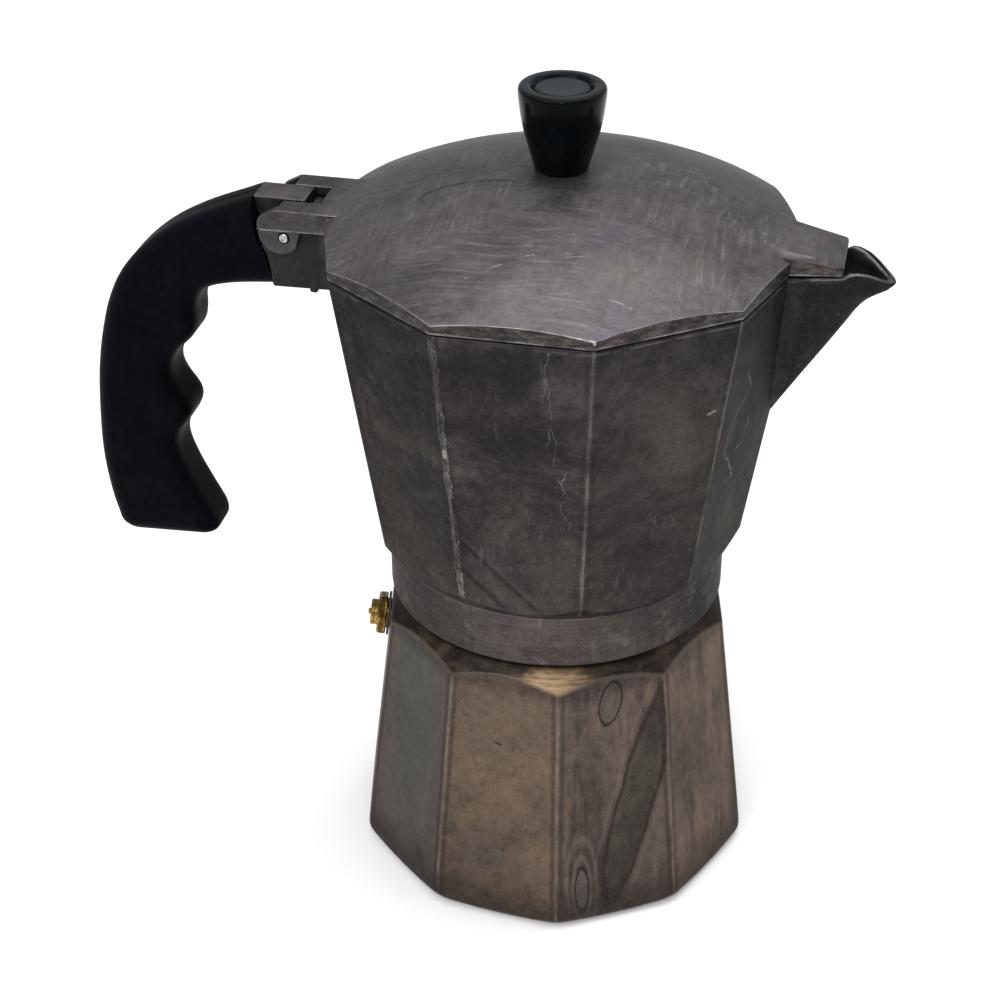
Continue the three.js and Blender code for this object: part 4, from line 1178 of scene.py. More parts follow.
rubs = M.mul(M.step(M.noise(1.0, 4, 0.75, vec=M.mapped(scale=(0.5, 0.5, 0.05), rot=(0, 24, 12), loc=(4, 0, 0))), 0.56, 0.72), M.step(M.noise(0.04, 2, 0.5, vec=M.mapped(loc=(90, 4, 4))), 0.48, 0.58))
col = M.mix(M.mul(rubs, 0.4), col, hexc("a39d97"))
col = speckle(M, col, a=0.26)
skirt = M.mul(M.step(Zc, 105.4, 104.2), M.step(sx.outputs[1], 0, -8))
# painted light: the front of the skirt painted lighter, its sides darker
skirt_front_light = M.ramp(M.math("MULTIPLY_ADD", sx.outputs[0], 0.008, 0.5), [(0.08, (0.7,) * 3), (0.3, (0.9,) * 3), (0.55, (1.36, 1.3, 1.27)), (0.75, (0.95,) * 3), (0.92, (0.66,) * 3)])
col = M.mix(skirt, col, M.mix(1.0, col, skirt_front_light, "MULTIPLY"))
ringm = M.noise(1.0, 3, 0.7, vec=M.mapped(scale=(0.04, 0.04, 2.2)))
col = M.mix(M.mul(skirt, M.step(ringm, 0.54, 0.7), 0.3), col, hexc("b0aaa4"))
col = M.mix(M.mul(skirt, M.step(M.noise(0.13, 4, 0.7, vec=M.mapped(loc=(5, 1, 9))), 0.56, 0.66), 0.35), col, hexc("a29a94"))
# bracket: sides painted darker and up-facing tops painted lighter (painted shade and light); a pale line on its rounded
# top edges, partly wear and partly a painted highlight
ears = M.step(sx.outputs[0], -64.0, -66.5)
col = M.mix(M.mul(ears, M.step(nz, 0.8, 0.4), 0.6), col, hexc("36322f"))
col = M.mix(M.mul(ears, M.step(nz, 0.6, 0.9), 0.9), col, M.ramp(tone, [(0.42, hexc("716b6d")), (0.5, hexc("9b9596")), (0.6, hexc("bdb7b8"))]))
bedge = M.mul(ears, M.step(M.math("ABSOLUTE", M.math("SUBTRACT", nz, 0.6)), 0.3, 0.1), M.step(M.noise(0.5, 4, 0.7), 0.44, 0.55))
col = M.mix(M.mul(bedge, 0.6), col, hexc("b0aaa6"))
dim = M.ramp(M.math("DIVIDE", M.math("SUBTRACT", Zc, 85), 120), [(0.0, (0.42, 0.4, 0.4)), (0.16, (0.4, 0.385, 0.385)), (0.22, (0.4, 0.385, 0.36)), (0.55, (0.34, 0.33, 0.32)), (0.85, (0.26, 0.255, 0.275)), (1.0, (0.3, 0.3, 0.31))])
col = M.mix(1.0, col, dim, "MULTIPLY")
M.set(color=col)
rough = M.add(M.lin(mid, 0.3, 0.7, 0.38, 0.56), M.mul(M.math("SUBTRACT", fine, 0.5), 0.16), M.mul(worn, -0.1))
height = M.add(M.mul(fine, 0.35), M.mul(grain, 0.5), M.mul(M.noise(11, 2, 0.5), 0.25), M.mul(hair, -0.6), M.mul(M.top(scr, loop), -0.8), M.mul(pm, -0.8), M.mul(M.step(dl, 1.3, 0.2), -1.2))
M.set(rough=rough, metal=0.72, spec=0.4, normal=M.bump(height, 0.35, 0.0003))
mat_collector = M

# ---- lid: lighter, brushed round, scratched
M, big, mid, fine, grain, tone = aluminium("lid_metal")
CD, near, facet, Zc, Rc = M.corner_distance(0.0)
sx = M.nt.nodes.new("ShaderNodeSeparateXYZ"); M.nt.links.new(M.P, sx.inputs[0])
col = M.ramp(tone, [(0.36, hexc("5f585e")), (0.46, hexc("7a7477")), (0.55, hexc("8e8888")), (0.66, hexc("aaa3a0"))])
mauve = M.step(M.noise(0.03, 3, 0.5, vec=M.mapped(loc=(40, 11, 9))), 0.47, 0.66)
col = M.mix(M.mul(mauve, 0.5), col, hexc("7b717c"))
olive = M.step(M.noise(0.036, 3, 0.55, vec=M.mapped(loc=(-7, 3, 4))), 0.5, 0.7)
col = M.mix(M.mul(olive, 0.4), col, hexc("86816f"))
dark = M.step(M.noise(0.028, 4, 0.6, vec=M.mapped(loc=(70, 30, 4))), 0.52, 0.72)
col = M.mix(M.mul(dark, 0.38), col, hexc("5a555a"))
# brushing: long fine streaks across the dome
with warped(M, 0.012, 16.0, 2.0):
    br1 = M.noise(1.0, 3, 0.7, vec=M.mapped(scale=(0.06, 1.0, 0.3), rot=(0, 0, 14), src=M.P))
    br2 = M.noise(1.0, 3, 0.7, vec=M.mapped(scale=(0.8, 0.05, 0.3), rot=(0, 0, -38), loc=(9, 4, 0), src=M.P))
bmask = M.step(M.noise(0.03, 2, 0.5, vec=M.mapped(loc=(3, 99, 0))), 0.42, 0.6)
brush = M.math("MULTIPLY_ADD", bmask, M.math("SUBTRACT", br2, br1), br1)
col = M.mix(M.mul(M.step(brush, 0.52, 0.7), 0.34), col, hexc("c4bebb"))
col = M.mix(M.mul(M.step(brush, 0.47, 0.3), 0.34), col, hexc("4f4a4e"))
rub = M.mul(M.step(M.noise(1.0, 4, 0.75, vec=M.mapped(scale=(0.16, 0.6, 0.3), rot=(0, 0, 25), loc=(0, 17, 0))), 0.55, 0.75),
            M.step(M.segment((8.0, -28.0, 213.0), (2.0, -43.0, 209.5)), 17, 5))
col = M.mix(M.mul(rub, 0.6), col, hexc("d2cdc9"))
rub2 = M.mul(M.step(M.noise(1.0, 4, 0.75, vec=M.mapped(scale=(0.7, 0.12, 0.3), rot=(0, 0, -30), loc=(3, 7, 0))), 0.5, 0.72),
             M.step(M.segment((24.0, 12.0, 213.0), (52.0, -2.0, 206.0)), 15, 4))
col = M.mix(M.mul(rub2, 0.55), col, hexc("d0cac7"))
# painted shadow: a dark ring round the knob's foot; and an arc left beside it
knob_shadow_ring = M.mul(M.step(Rc, 13.5, 8.0), 0.45)
col = M.mix(knob_shadow_ring, col, hexc("4f4a50"))
arc1 = M.line([(-35.0, -16.2, 211.0), (-33.8, -13.4, 211.9), (-29.5, -10.9, 213.2), (-23.0, -9.4, 214.8), (-16.0, -9.0, 215.6), (-8.0, -10.6, 215.9)])
arc2 = M.line([(-35.0, -16.2, 211.0), (-29.0, -17.5, 211.9), (-20.0, -14.2, 214.2), (-9.0, -12.0, 215.6), (4.0, -12.2, 215.8), (15.0, -9.6, 215.5)])
col = M.mix(M.mul(M.step(M.add(arc1, M.mul(fine, 0.6)), 1.25, 0.35), 0.72), col, hexc("3d393f"))
col = M.mix(M.mul(M.step(M.add(arc2, M.mul(fine, 1.2)), 2.3, 0.4), 0.3), col, hexc("514c52"))
smear = M.mul(M.step(M.add(M.segment((2.0, -11.0, 215.8), (19.0, -6.0, 215.0)), M.mul(fine, 2.0)), 4.2, 1.4), 0.36)
col = M.mix(smear, col, hexc("4d5050"))
# scratches
wav = M.mul(M.math("SUBTRACT", M.noise(0.8, 3, 0.6), 0.5), 1.2)
sc_ = M.line([(-14.6, -50.0, 206.5), (-10.0, -47.0, 207.9), (-6.4, -45.2, 209.0)])
sc_ = M.math("MINIMUM", sc_, M.line([(-1.6, -42.1, 210.3), (0.9, -41.2, 210.5)]))
sc_ = M.math("MINIMUM", sc_, M.line([(22.0, -51.2, 205.0), (25.0, -51.3, 204.3), (27.9, -52.0, 203.4)]))
sc_ = M.math("MINIMUM", sc_, M.line([(8.6, -40.9, 210.4), (11.5, -39.9, 210.5), (14.2, -39.4, 210.3)]))
sc_ = M.math("MINIMUM", sc_, M.line([(-33.6, -44.0, 203.9), (-31.5, -46.0, 203.7)]))
sc_ = M.math("MINIMUM", sc_, M.line([(-24.5, -41.0, 206.7), (-22.5, -42.6, 206.5)]))
placed = M.mul(M.step(M.add(sc_, M.mul(wav, 0.5)), 0.26, 0.06), M.step(M.noise(0.6, 2, 0.5), 0.38, 0.54))
hair = M.top(scratches(M, 0.03, 0.0035, 1.2, seed=5.0, stretch=(1, 0.5, 1)), M.mul(scratches(M, 0.055, 0.005, 1.0, rot=(0, 0, 50), seed=21.0, stretch=(0.4, 1, 1)), 0.8))
col = M.mix(M.mul(placed, 0.6), col, hexc("e6e2de"))
col = M.mix(M.mul(hair, 0.34), col, hexc("cdc8c5"))
# rim: the side-facing wall painted dark (painted shade), a thin bright line where it meets the dome (partly edge wear,
# partly a painted highlight), chipped corner
nz = up(M)
rc_edge = M.math("SUBTRACT", 66.9 * SH, M.mul(Rc, M.math("COSINE", M.math("SUBTRACT", math.radians(18), M.math("DIVIDE", CD, Rc)))))
# painted shade: the wall darkened where it faces sideways
wall = M.mul(M.step(M.math("ABSOLUTE", nz), 0.5, 0.25), M.step(sx.outputs[0], -66, -64))
wall_shade_col = M.ramp(M.noise(0.5, 4, 0.7, vec=M.mapped(scale=(0.5, 0.5, 1.6))), [(0.38, hexc("2e2a28")), (0.5, hexc("504a45")), (0.62, hexc("7a726b"))])
col = M.mix(M.mul(wall, 0.9), col, wall_shade_col)
# bright line on the crest: partly edge wear, partly a painted highlight
crest = M.mul(M.step(M.math("ABSOLUTE", M.math("SUBTRACT", nz, 0.62)), 0.26, 0.1), M.step(Rc, 56, 58), M.lin(M.noise(0.16, 4, 0.65, vec=M.mapped(loc=(3, 3, 30))), 0.38, 0.56, 0.15, 1.0))
col = M.mix(M.mul(crest, 0.72), col, hexc("d6d0cb"))
jl = M.mul(M.math("SUBTRACT", M.noise(0.6, 5, 0.8), 0.5), 1.6)
flash = M.mul(M.step(M.math("ABSOLUTE", M.add(Zc, jl, -197.3)), 0.36, 0.08), M.step(nz, 0.4, 0.2), M.step(Rc, 61, 62), M.lin(M.noise(0.09, 3, 0.6, vec=M.mapped(loc=(9, 2, 6))), 0.42, 0.54, 0.0, 1.0))
col = M.mix(M.mul(flash, 0.75), col, hexc("c8c2bc"))
chip = M.top(M.step(M.segment((20.7, -63.5, 198.9), (20.6, -63.4, 199.3)), 0.55, 0.25), M.mul(M.step(M.segment((14.0, -63.7, 200.3), (20.5, -63.3, 199.5)), 0.28, 0.08), M.step(M.noise(0.5, 3, 0.6), 0.42, 0.52)))
col = M.mix(M.mul(chip, 0.9), col, hexc("f2eee8"))
# hinge ears darker, blotched
hinge = M.step(sx.outputs[0], -61, -68)
col = M.mix(M.mul(hinge, 0.75), col, M.ramp(tone, [(0.4, hexc("3b3739")), (0.55, hexc("5d5759")), (0.66, hexc("77706f"))]))
# painted highlight: a bright line along the lower edge of the ears' band
earline_highlight = M.mul(hinge, M.step(M.math("ABSOLUTE", M.add(Zc, M.mul(jl, 0.25), -196.9)), 0.45, 0.12), M.step(nz, 0.5, 0.2), M.step(M.noise(0.3, 3, 0.6), 0.36, 0.5))
col = M.mix(M.mul(earline_highlight, 0.85), col, hexc("d0cac4"))
# pale line on the ears' rounded top edges: partly wear, partly a painted highlight
earcrest_wear_and_highlight = M.mul(hinge, M.step(M.math("ABSOLUTE", M.math("SUBTRACT", nz, 0.6)), 0.3, 0.1), M.step(M.noise(0.35, 4, 0.7, vec=M.mapped(loc=(2, 8, 2))), 0.42, 0.56))
col = M.mix(M.mul(earcrest_wear_and_highlight, 0.55), col, hexc("a29c98"))
under = M.mul(M.step(M.math("SUBTRACT", M.math("MULTIPLY_ADD", M.mul(Rc, Rc), -0.0041, 216.0), Zc), 0.2, 1.2), M.step(Rc, 62.0, 60.5))
col = M.mix(M.mul(under, 0.55), col, M.ramp(M.noise(0.07, 5, 0.6), [(0.35, hexc("6b5b4a")), (0.55, hexc("958a7d")), (0.7, hexc("aaa49c"))]))
col = speckle(M, col, "2c292b", "d8d2ce", 0.18)
col = M.mix(1.0, col, (0.4, 0.4, 0.41), "MULTIPLY")
M.set(color=col)
rough = M.add(M.lin(mid, 0.3, 0.7, 0.32, 0.5), M.mul(M.math("SUBTRACT", brush, 0.5), 0.3))
height = M.add(M.mul(brush, 0.9), M.mul(grain, 0.4), M.mul(fine, 0.3), M.mul(hair, -0.6), M.mul(placed, -0.8))
M.set(rough=rough, metal=0.72, spec=0.4, normal=M.bump(height, 0.3, 0.0003))
mat_lid = M

# ---- boiler: heat-browned, water marks
M, big, mid, fine, grain, tone = aluminium("boiler_metal")
CD, near, facet, Zc, Rc = M.corner_distance(TWIST)
mott = M.add(M.mul(M.noise(0.03, 4, 0.6, dist=0.5), 0.4), M.mul(mid, 0.35), M.mul(fine, 0.25))
base = M.ramp(M.math("MULTIPLY_ADD", facet, 0.1, 0.05), [(0.0, hexc("83786f")), (0.1, hexc("7d7068")), (0.2, hexc("7b746b")), (0.3, hexc("857667")), (0.4, hexc("776e69")),
                                                       (0.5, hexc("79726d")), (0.6, hexc("777571")), (0.7, hexc("8c7a6b")), (0.8, hexc("7b6d66")), (0.9, hexc("86776d"))], "CONSTANT")
lite = M.ramp(mott, [(0.36, (0.5, 0.47, 0.5)), (0.5, (0.98, 0.98, 0.98)), (0.64, (1.48, 1.42, 1.32))])
col = M.mix(1.0, base, lite, "MULTIPLY")
col = M.mix(M.mul(M.step(M.noise(0.05, 4, 0.6, vec=M.mapped(loc=(4, 44, 4))), 0.52, 0.7), 0.45), col, hexc("8f7b66"))
col = M.mix(M.mul(M.step(M.noise(0.035, 3, 0.5, vec=M.mapped(loc=(14, -4, 24))), 0.52, 0.68), 0.4), col, hexc("6d6a68"))
onleft = M.mul(M.step(facet, 5.4, 5.6), M.step(facet, 6.6, 6.4))
col = M.mix(M.mul(onleft, M.step(M.noise(0.05, 3, 0.5, vec=M.mapped(scale=(1, 1, 0.4), loc=(2, 2, 2))), 0.38, 0.62), 0.6), col, hexc("6a6f69"))
col = M.mix(M.mul(onleft, M.step(CD, 7.5, 2.0), 0.45), col, hexc("74676a"))
# run-down streaks on the facets right of the front
onright = M.step(facet, 7.5, 7.6)
stv = M.vec("ADD", M.mapped(scale=(0.19, 0.19, 0.012)), M.vscale(M.vec("SUBTRACT", M.noise(0.03, 2, 0.5, out="Color"), (0.5, 0.5, 0.5)), 0.9))
streak = M.noise(1.0, 4, 0.6, vec=stv)
col = M.mix(M.mul(onright, M.step(streak, 0.5, 0.66), 0.55), col, hexc("a08e82"))
col = M.mix(M.mul(onright, M.step(streak, 0.47, 0.34), 0.7), col, hexc("594c4c"))
fine_st = M.noise(1.0, 3, 0.6, vec=M.mapped(scale=(0.7, 0.7, 0.02), loc=(5, 0, 0)))
col = M.mix(M.mul(onright, M.step(fine_st, 0.52, 0.7), 0.26), col, hexc("7a6a58"))
# the leaf-shaped tide mark
T, W = (0.8667, 0.4988, 0.0), (-0.06, 0.1043, 0.9927)
bend = M.mul(M.math("SUBTRACT", M.noise(0.05, 3, 0.5, vec=M.mapped(loc=(0, 9, 0))), 0.5), 0.5)
LU = Vector((0.178, 0.216, 0.96)).normalized()
LV = Vector(T) - LU * LU.dot(Vector(T))
LV.normalize()
leaf = M.add(M.oval((32.6, -43.0, 40.0), LU, LV, 34.5, 5.8), bend)
leaf_in = M.step(leaf, 1.04, 0.9)
leafcol = M.ramp(M.noise(0.07, 4, 0.6, vec=M.mapped(scale=(1.5, 1.5, 0.6))), [(0.35, hexc("3a3631")), (0.5, hexc("56534a")), (0.66, hexc("786c5f"))])
col = M.mix(M.mul(leaf_in, M.step(facet, 7.5, 7.6), M.step(facet, 8.6, 8.4), 0.85), col, leafcol)
tide = M.mul(M.step(M.math("ABSOLUTE", M.math("SUBTRACT", leaf, 1.02)), 0.16, 0.02), M.step(facet, 7.5, 7.6), M.step(facet, 8.6, 8.4))
col = M.mix(M.mul(tide, 0.8), col, hexc("3a2f2b"))
sweep = M.line([(38.6, -40.4, 66.0), (38.9, -41.6, 52.0), (36.8, -43.9, 40.0), (33.4, -46.9, 26.0), (29.6, -50.2, 10.0)])
col = M.mix(M.mul(M.step(M.add(sweep, M.mul(M.math("SUBTRACT", mid, 0.5), 3)), 1.7, 0.3), M.step(facet, 7.5, 7.6), M.step(facet, 8.6, 8.4), 0.6), col, hexc("3f3331"))
bandd = M.line([(21.0, -49.8, 68.0), (22.4, -50.8, 50.0), (21.8, -53.4, 30.0), (22.8, -54.4, 8.0)])
col = M.mix(M.mul(M.step(M.add(bandd, M.mul(M.math("SUBTRACT", mid, 0.5), 7)), 4.2, 1.2), M.step(facet, 7.5, 7.6), M.step(facet, 8.6, 8.4), 0.42), col, hexc("463936"))
side_ = M.line([(16.6, -48.6, 74.0), (16.4, -51.8, 50.0), (15.6, -56.2, 14.0)])
col = M.mix(M.mul(M.step(M.add(side_, M.mul(M.math("SUBTRACT", mid, 0.5), 4)), 1.3, 0.2), M.step(facet, 7.5, 7.6), 0.55), col, hexc("4a3d3a"))
tide2 = M.mul(M.step(M.math("ABSOLUTE", M.math("SUBTRACT", leaf, 1.36)), 0.13, 0.02), M.step(facet, 7.5, 7.6), M.step(facet, 8.6, 8.4))
col = M.mix(M.mul(tide2, 0.3), col, hexc("a39184"))
# oval water marks
OU = Vector((1.5, 2.7, 13.5)).normalized()
OV = Vector(T) - OU * OU.dot(Vector(T))
OV.normalize()
sy = M.nt.nodes.new("ShaderNodeSeparateXYZ")
M.nt.links.new(M.P, sy.inputs[0])
wob = M.add(M.mul(M.math("SUBTRACT", M.noise(0.3, 2, 0.5), 0.5), 0.35), M.step(sy.outputs[1], -12, 0, 0.0, 30.0))
o1 = M.add(M.oval((24.3, -43.2, 74.4), OU, OV, 6.6, 3.1), wob)
o1in = M.step(o1, 1.05, 0.9)
col = M.mix(M.mul(o1in, 0.6), col, M.ramp(M.noise(0.3, 3, 0.5), [(0.35, hexc("6b625b")), (0.65, hexc("8d837b"))]))
col = M.mix(M.mul(M.step(M.math("ABSOLUTE", M.math("SUBTRACT", o1, 1.04)), 0.17, 0.03), 0.85), col, hexc("352f2e"))
col = M.mix(M.mul(M.step(M.math("ABSOLUTE", M.math("SUBTRACT", o1, 0.66)), 0.14, 0.03), 0.25), col, hexc("4d4643"))
o2 = M.add(M.oval((19.3, -54.6, 13.0), W, T, 7.4, 1.9), wob)
o2in = M.step(o2, 1.05, 0.9)
col = M.mix(M.mul(o2in, 0.6), col, hexc("8f867d"))
for rr, wd, am, cc in ((1.05, 0.2, 0.85, "312c2b"), (1.5, 0.2, 0.4, "a59a90"), (1.95, 0.22, 0.5, "4a413e"), (2.5, 0.25, 0.4, "9a8f86"), (3.1, 0.3, 0.35, "544946")):
    col = M.mix(M.mul(M.step(M.math("ABSOLUTE", M.math("SUBTRACT", o2, rr)), wd, 0.03), am, M.step(facet, 7.5, 7.6), M.step(facet, 8.6, 8.4)), col, hexc(cc))
o4 = M.add(M.oval((51.8, -18.2, 31.5), W, (0.41, 0.91, 0), 2.2, 2.0), wob)
col = M.mix(M.mul(M.step(o4, 1.3, 0.6), 0.4), col, hexc("5d534c"))
pit = M.step(M.segment((-7.4, -50.8, 60.8), (-6.0, -50.9, 60.4)), 0.5, 0.2)
col = M.mix(M.mul(pit, 0.8), col, hexc("2a2523"))
# darker towards the base
foot_dark = M.step(M.add(Zc, M.mul(M.math("SUBTRACT", M.noise(0.09, 4, 0.6), 0.5), 22)), 19, 4.0)
col = M.mix(M.mul(foot_dark, 0.72), col, hexc("433c38"))
# shoulder: painted shade under the collector's skirt, with a bright brassy patch above the front corner
shoulder = M.mul(M.step(M.math("SUBTRACT", Rc, M.math("MULTIPLY_ADD", Zc, -1.0508, 135.35)), -0.75, 0.0), M.step(Zc, 79.0, 80.2))
cone = M.math("SUBTRACT", M.math("MULTIPLY_ADD", Zc, -1.0508, 135.46), Rc)
on_cone = M.mul(M.step(M.math("ABSOLUTE", cone), 0.8, 0.25), M.step(Zc, 79.2, 80.0))
shoulder_shade_col = M.ramp(M.noise(0.16, 4, 0.6, vec=M.mapped(scale=(1, 1, 2.5))), [(0.36, hexc("1d1815")), (0.5, hexc("372e29")), (0.66, hexc("66574b"))])
col = M.mix(M.mul(on_cone, 0.85), col, shoulder_shade_col)
gold = M.mul(M.step(M.add(M.segment((5.0, -49.5, 82.0), (14.0, -47.2, 83.0)), M.mul(M.math("SUBTRACT", M.noise(0.2, 4, 0.6), 0.5), 9)), 7.0, 0.5), on_cone)
goldtex = M.noise(1.0, 4, 0.7, vec=M.mapped(scale=(0.1, 0.1, 1.4)))
col = M.mix(M.mul(gold, M.lin(goldtex, 0.3, 0.7, 0.35, 1.0)), col, hexc("cbae87"))
col = M.mix(M.mul(M.step(M.add(M.segment((-24.5, -40.5, 84.0), (-27.5, -42.0, 81.0)), M.mul(fine, 3)), 4.5, 1.0), on_cone, 0.6), col, hexc("988775"))
neck = M.step(Zc, 87.0, 87.6)
col = M.mix(M.mul(neck, 0.6), col, hexc("9b948c"))
# corners: thin, some pale and some dark
jag = M.mul(M.math("SUBTRACT", M.noise(0.4, 4, 0.7), 0.5), 1.5)
worn = M.mul(M.step(M.math("ABSOLUTE", M.add(CD, M.mul(jag, 0.4), -0.1)), 0.5, 0.08), M.step(Zc, 81, 79), M.lin(M.noise(0.08, 3, 0.6, vec=M.mapped(loc=(0, 3, 77))), 0.4, 0.6, 0.0, 1.0))
col = M.mix(M.mul(worn, 0.5), col, hexc("b8ab9e"))
dcr = M.mul(M.step(M.math("ABSOLUTE", M.math("SUBTRACT", M.add(CD, M.mul(jag, 0.5)), 1.3)), 1.1, 0.1), M.step(Zc, 81, 79))
col = M.mix(M.mul(dcr, 0.55), col, hexc("3f3636"))
# scalloped crest: pale where the facet turns into the shoulder
facet_in = M.math("SUBTRACT", M.math("MULTIPLY_ADD", Zc, TAPER * SH, BASE_R * SH),
                  M.mul(Rc, M.math("COSINE", M.math("SUBTRACT", math.radians(18), M.math("DIVIDE", CD, Rc)))))
crest = M.mul(M.step(M.math("ABSOLUTE", cone), 1.1, 0.2), M.step(M.math("ABSOLUTE", facet_in), 0.55, 0.15), M.step(Zc, 79.0, 79.8))
col = M.mix(M.mul(crest, 0.55), col, hexc("a89c92"))
hair = M.top(scratches(M, 0.03, 0.0035, 0.7, seed=15.0), M.mul(scratches(M, 0.05, 0.005, 0.6, rot=(40, 20, 50), seed=2.0, stretch=(0.5, 1, 1)), 0.8))
col = M.mix(M.mul(hair, 0.25), col, hexc("b9afa4"))
col = speckle(M, col, "2a2320", "c8b9a8", 0.24)
# each facet's brightness scaled on its own: painted light and shade by facet
facet_light = M.ramp(M.math("MULTIPLY_ADD", facet, 0.1, 0.05), [(0.0, (1.0,) * 3), (0.5, (0.9, 0.9, 0.9)), (0.6, (1.04, 0.99, 0.96)), (0.7, (1.02, 1.02, 1.02)), (0.8, (0.95, 0.95, 0.95)), (0.9, (1.0, 0.96, 0.92))], "CONSTANT")
col = M.mix(1.0, col, facet_light, "MULTIPLY")
# overall darkening with height; the drop from the shoulder up is painted shade under the collector's skirt
dim = M.ramp(M.math("DIVIDE", Zc, 100), [(0.0, (0.4, 0.4, 0.4)), (0.1, (0.42, 0.4, 0.4)), (0.5, (0.43, 0.42, 0.41)), (0.76, (0.46, 0.45, 0.45)), (0.8, (0.3, 0.29, 0.29)), (1.0, (0.3, 0.29, 0.28))])
col = M.mix(1.0, col, dim, "MULTIPLY")
col = M.mix(M.mul(gold, M.lin(goldtex, 0.36, 0.64, 0.0, 0.9)), col, hexc("8c7458"))
# painted shadow: the shoulder just under the collector's skirt painted near black
skirt_shadow = M.mul(on_cone, M.step(Zc, 84.2, 87.5))
col = M.mix(M.mul(skirt_shadow, 0.75), col, hexc("17120f"))
M.set(color=col)
rough = M.add(M.lin(mid, 0.3, 0.7, 0.36, 0.52), M.mul(M.math("SUBTRACT", fine, 0.5), 0.14), M.mul(o2in, -0.05), M.mul(leaf_in, 0.05))
height = M.add(M.mul(fine, 0.3), M.mul(grain, 0.55), M.mul(M.noise(9, 2, 0.5), 0.25), M.mul(hair, -0.5), M.mul(pit, -2.0), M.mul(tide, 0.25))
M.set(rough=rough, metal=0.7, spec=0.4, normal=M.bump(height, 0.32, 0.0003))
mat_boiler = M

# ---- cleaner turned and pressed aluminium inside
M = Mat("inner_metal")
t = M.add(M.mul(M.noise(0.08, 5, 0.6), 0.6), M.mul(M.noise(0.6, 4, 0.6), 0.4))
col = M.ramp(t, [(0.35, hexc("6d6259")), (0.5, hexc("98928b")), (0.65, hexc("b9b6b2"))])
turning = M.noise(1.0, 3, 0.7, vec=M.mapped(scale=(0.05, 0.05, 3.0)))
col = M.mix(M.mul(M.step(turning, 0.5, 0.75), 0.3), col, hexc("d0cdc9"))
col = M.mix(M.mul(M.step(M.noise(0.1, 4, 0.6, vec=M.mapped(loc=(9, 9, 9))), 0.55, 0.72), 0.5), col, hexc("5c4734"))
M.set(color=col, rough=M.lin(t, 0.3, 0.7, 0.3, 0.5), metal=0.85, normal=M.bump(M.add(turning, M.noise(4, 2, 0.5)), 0.2, 0.0002))
mat_inner = M

# ---- steel
M = Mat("steel_metal")
t = M.noise(0.9, 4, 0.6)
col = M.ramp(t, [(0.35, hexc("8e8c8b")), (0.55, hexc("c4c3c2")), (0.7, hexc("dcdbda"))])
col = M.mix(M.mul(M.step(M.noise(1.8, 3, 0.6, vec=M.mapped(loc=(4, 4, 4))), 0.55, 0.68), 0.6), col, hexc("4c4642"))
M.set(color=col, rough=M.lin(t, 0.3, 0.7, 0.2, 0.38), metal=1.0, normal=M.bump(M.noise(6, 3, 0.6), 0.35, 0.0001))
mat_steel = M

# ---- blackened screw
M = Mat("dark_steel")
t = M.noise(0.8, 4, 0.6)
M.set(color=M.ramp(t, [(0.35, hexc("1c1a1a")), (0.6, hexc("3a3634")), (0.75, hexc("5a4a3c"))]), rough=M.lin(t, 0.3, 0.7, 0.4, 0.6), metal=0.8,
      normal=M.bump(M.noise(5, 3, 0.6), 0.4, 0.0001))
mat_screw = M

# ---- brass
M = Mat("brass_metal")
t = M.add(M.mul(M.noise(0.5, 4, 0.6), 0.6), M.mul(M.noise(2.5, 3, 0.6), 0.4))
col = M.ramp(t, [(0.34, hexc("5a4522")), (0.48, hexc("a08144")), (0.62, hexc("d0b16e")), (0.75, hexc("e6cf98"))])
col = M.mix(M.mul(M.step(M.noise(0.35, 4, 0.6, vec=M.mapped(loc=(3, 3, 3))), 0.54, 0.7), 0.6), col, hexc("4a3a22"))
col = M.mix(M.mul(M.step(up(M), 0.1, 0.6), 0.8), col, hexc("4d4526"))
turned = M.noise(1.0, 3, 0.7, vec=M.mapped(scale=(2.4, 0.3, 0.3), rot=(0, 0, -12)))
col = M.mix(M.mul(M.step(turned, 0.5, 0.36), 0.6), col, hexc("5a4522"))
M.set(color=col, rough=M.lin(t, 0.3, 0.7, 0.25, 0.42), metal=1.0, normal=M.bump(M.noise(5, 3, 0.6), 0.3, 0.0001))
mat_brass = M

# ---- seal rubber and fibre washer
M = Mat("seal_rubber_mat")
t = M.add(M.mul(M.noise(0.1, 4, 0.6), 0.6), M.mul(M.noise(1.5, 3, 0.6), 0.4))
M.set(color=M.ramp(t, [(0.35, hexc("a5977f")), (0.55, hexc("cfc8b8")), (0.7, hexc("dad6cb"))]), rough=M.lin(t, 0.3, 0.7, 0.6, 0.8), normal=M.bump(M.noise(3, 3, 0.6), 0.3, 0.0002))
mat_rubber = M
M = Mat("fibre_mat")
t = M.noise(2.0, 4, 0.7)
M.set(color=M.ramp(t, [(0.35, hexc("1d1612")), (0.6, hexc("33261f")), (0.75, hexc("4a382e"))]), rough=M.lin(t, 0.3, 0.7, 0.7, 0.9), normal=M.bump(t, 0.5, 0.0002))
mat_fibre = M

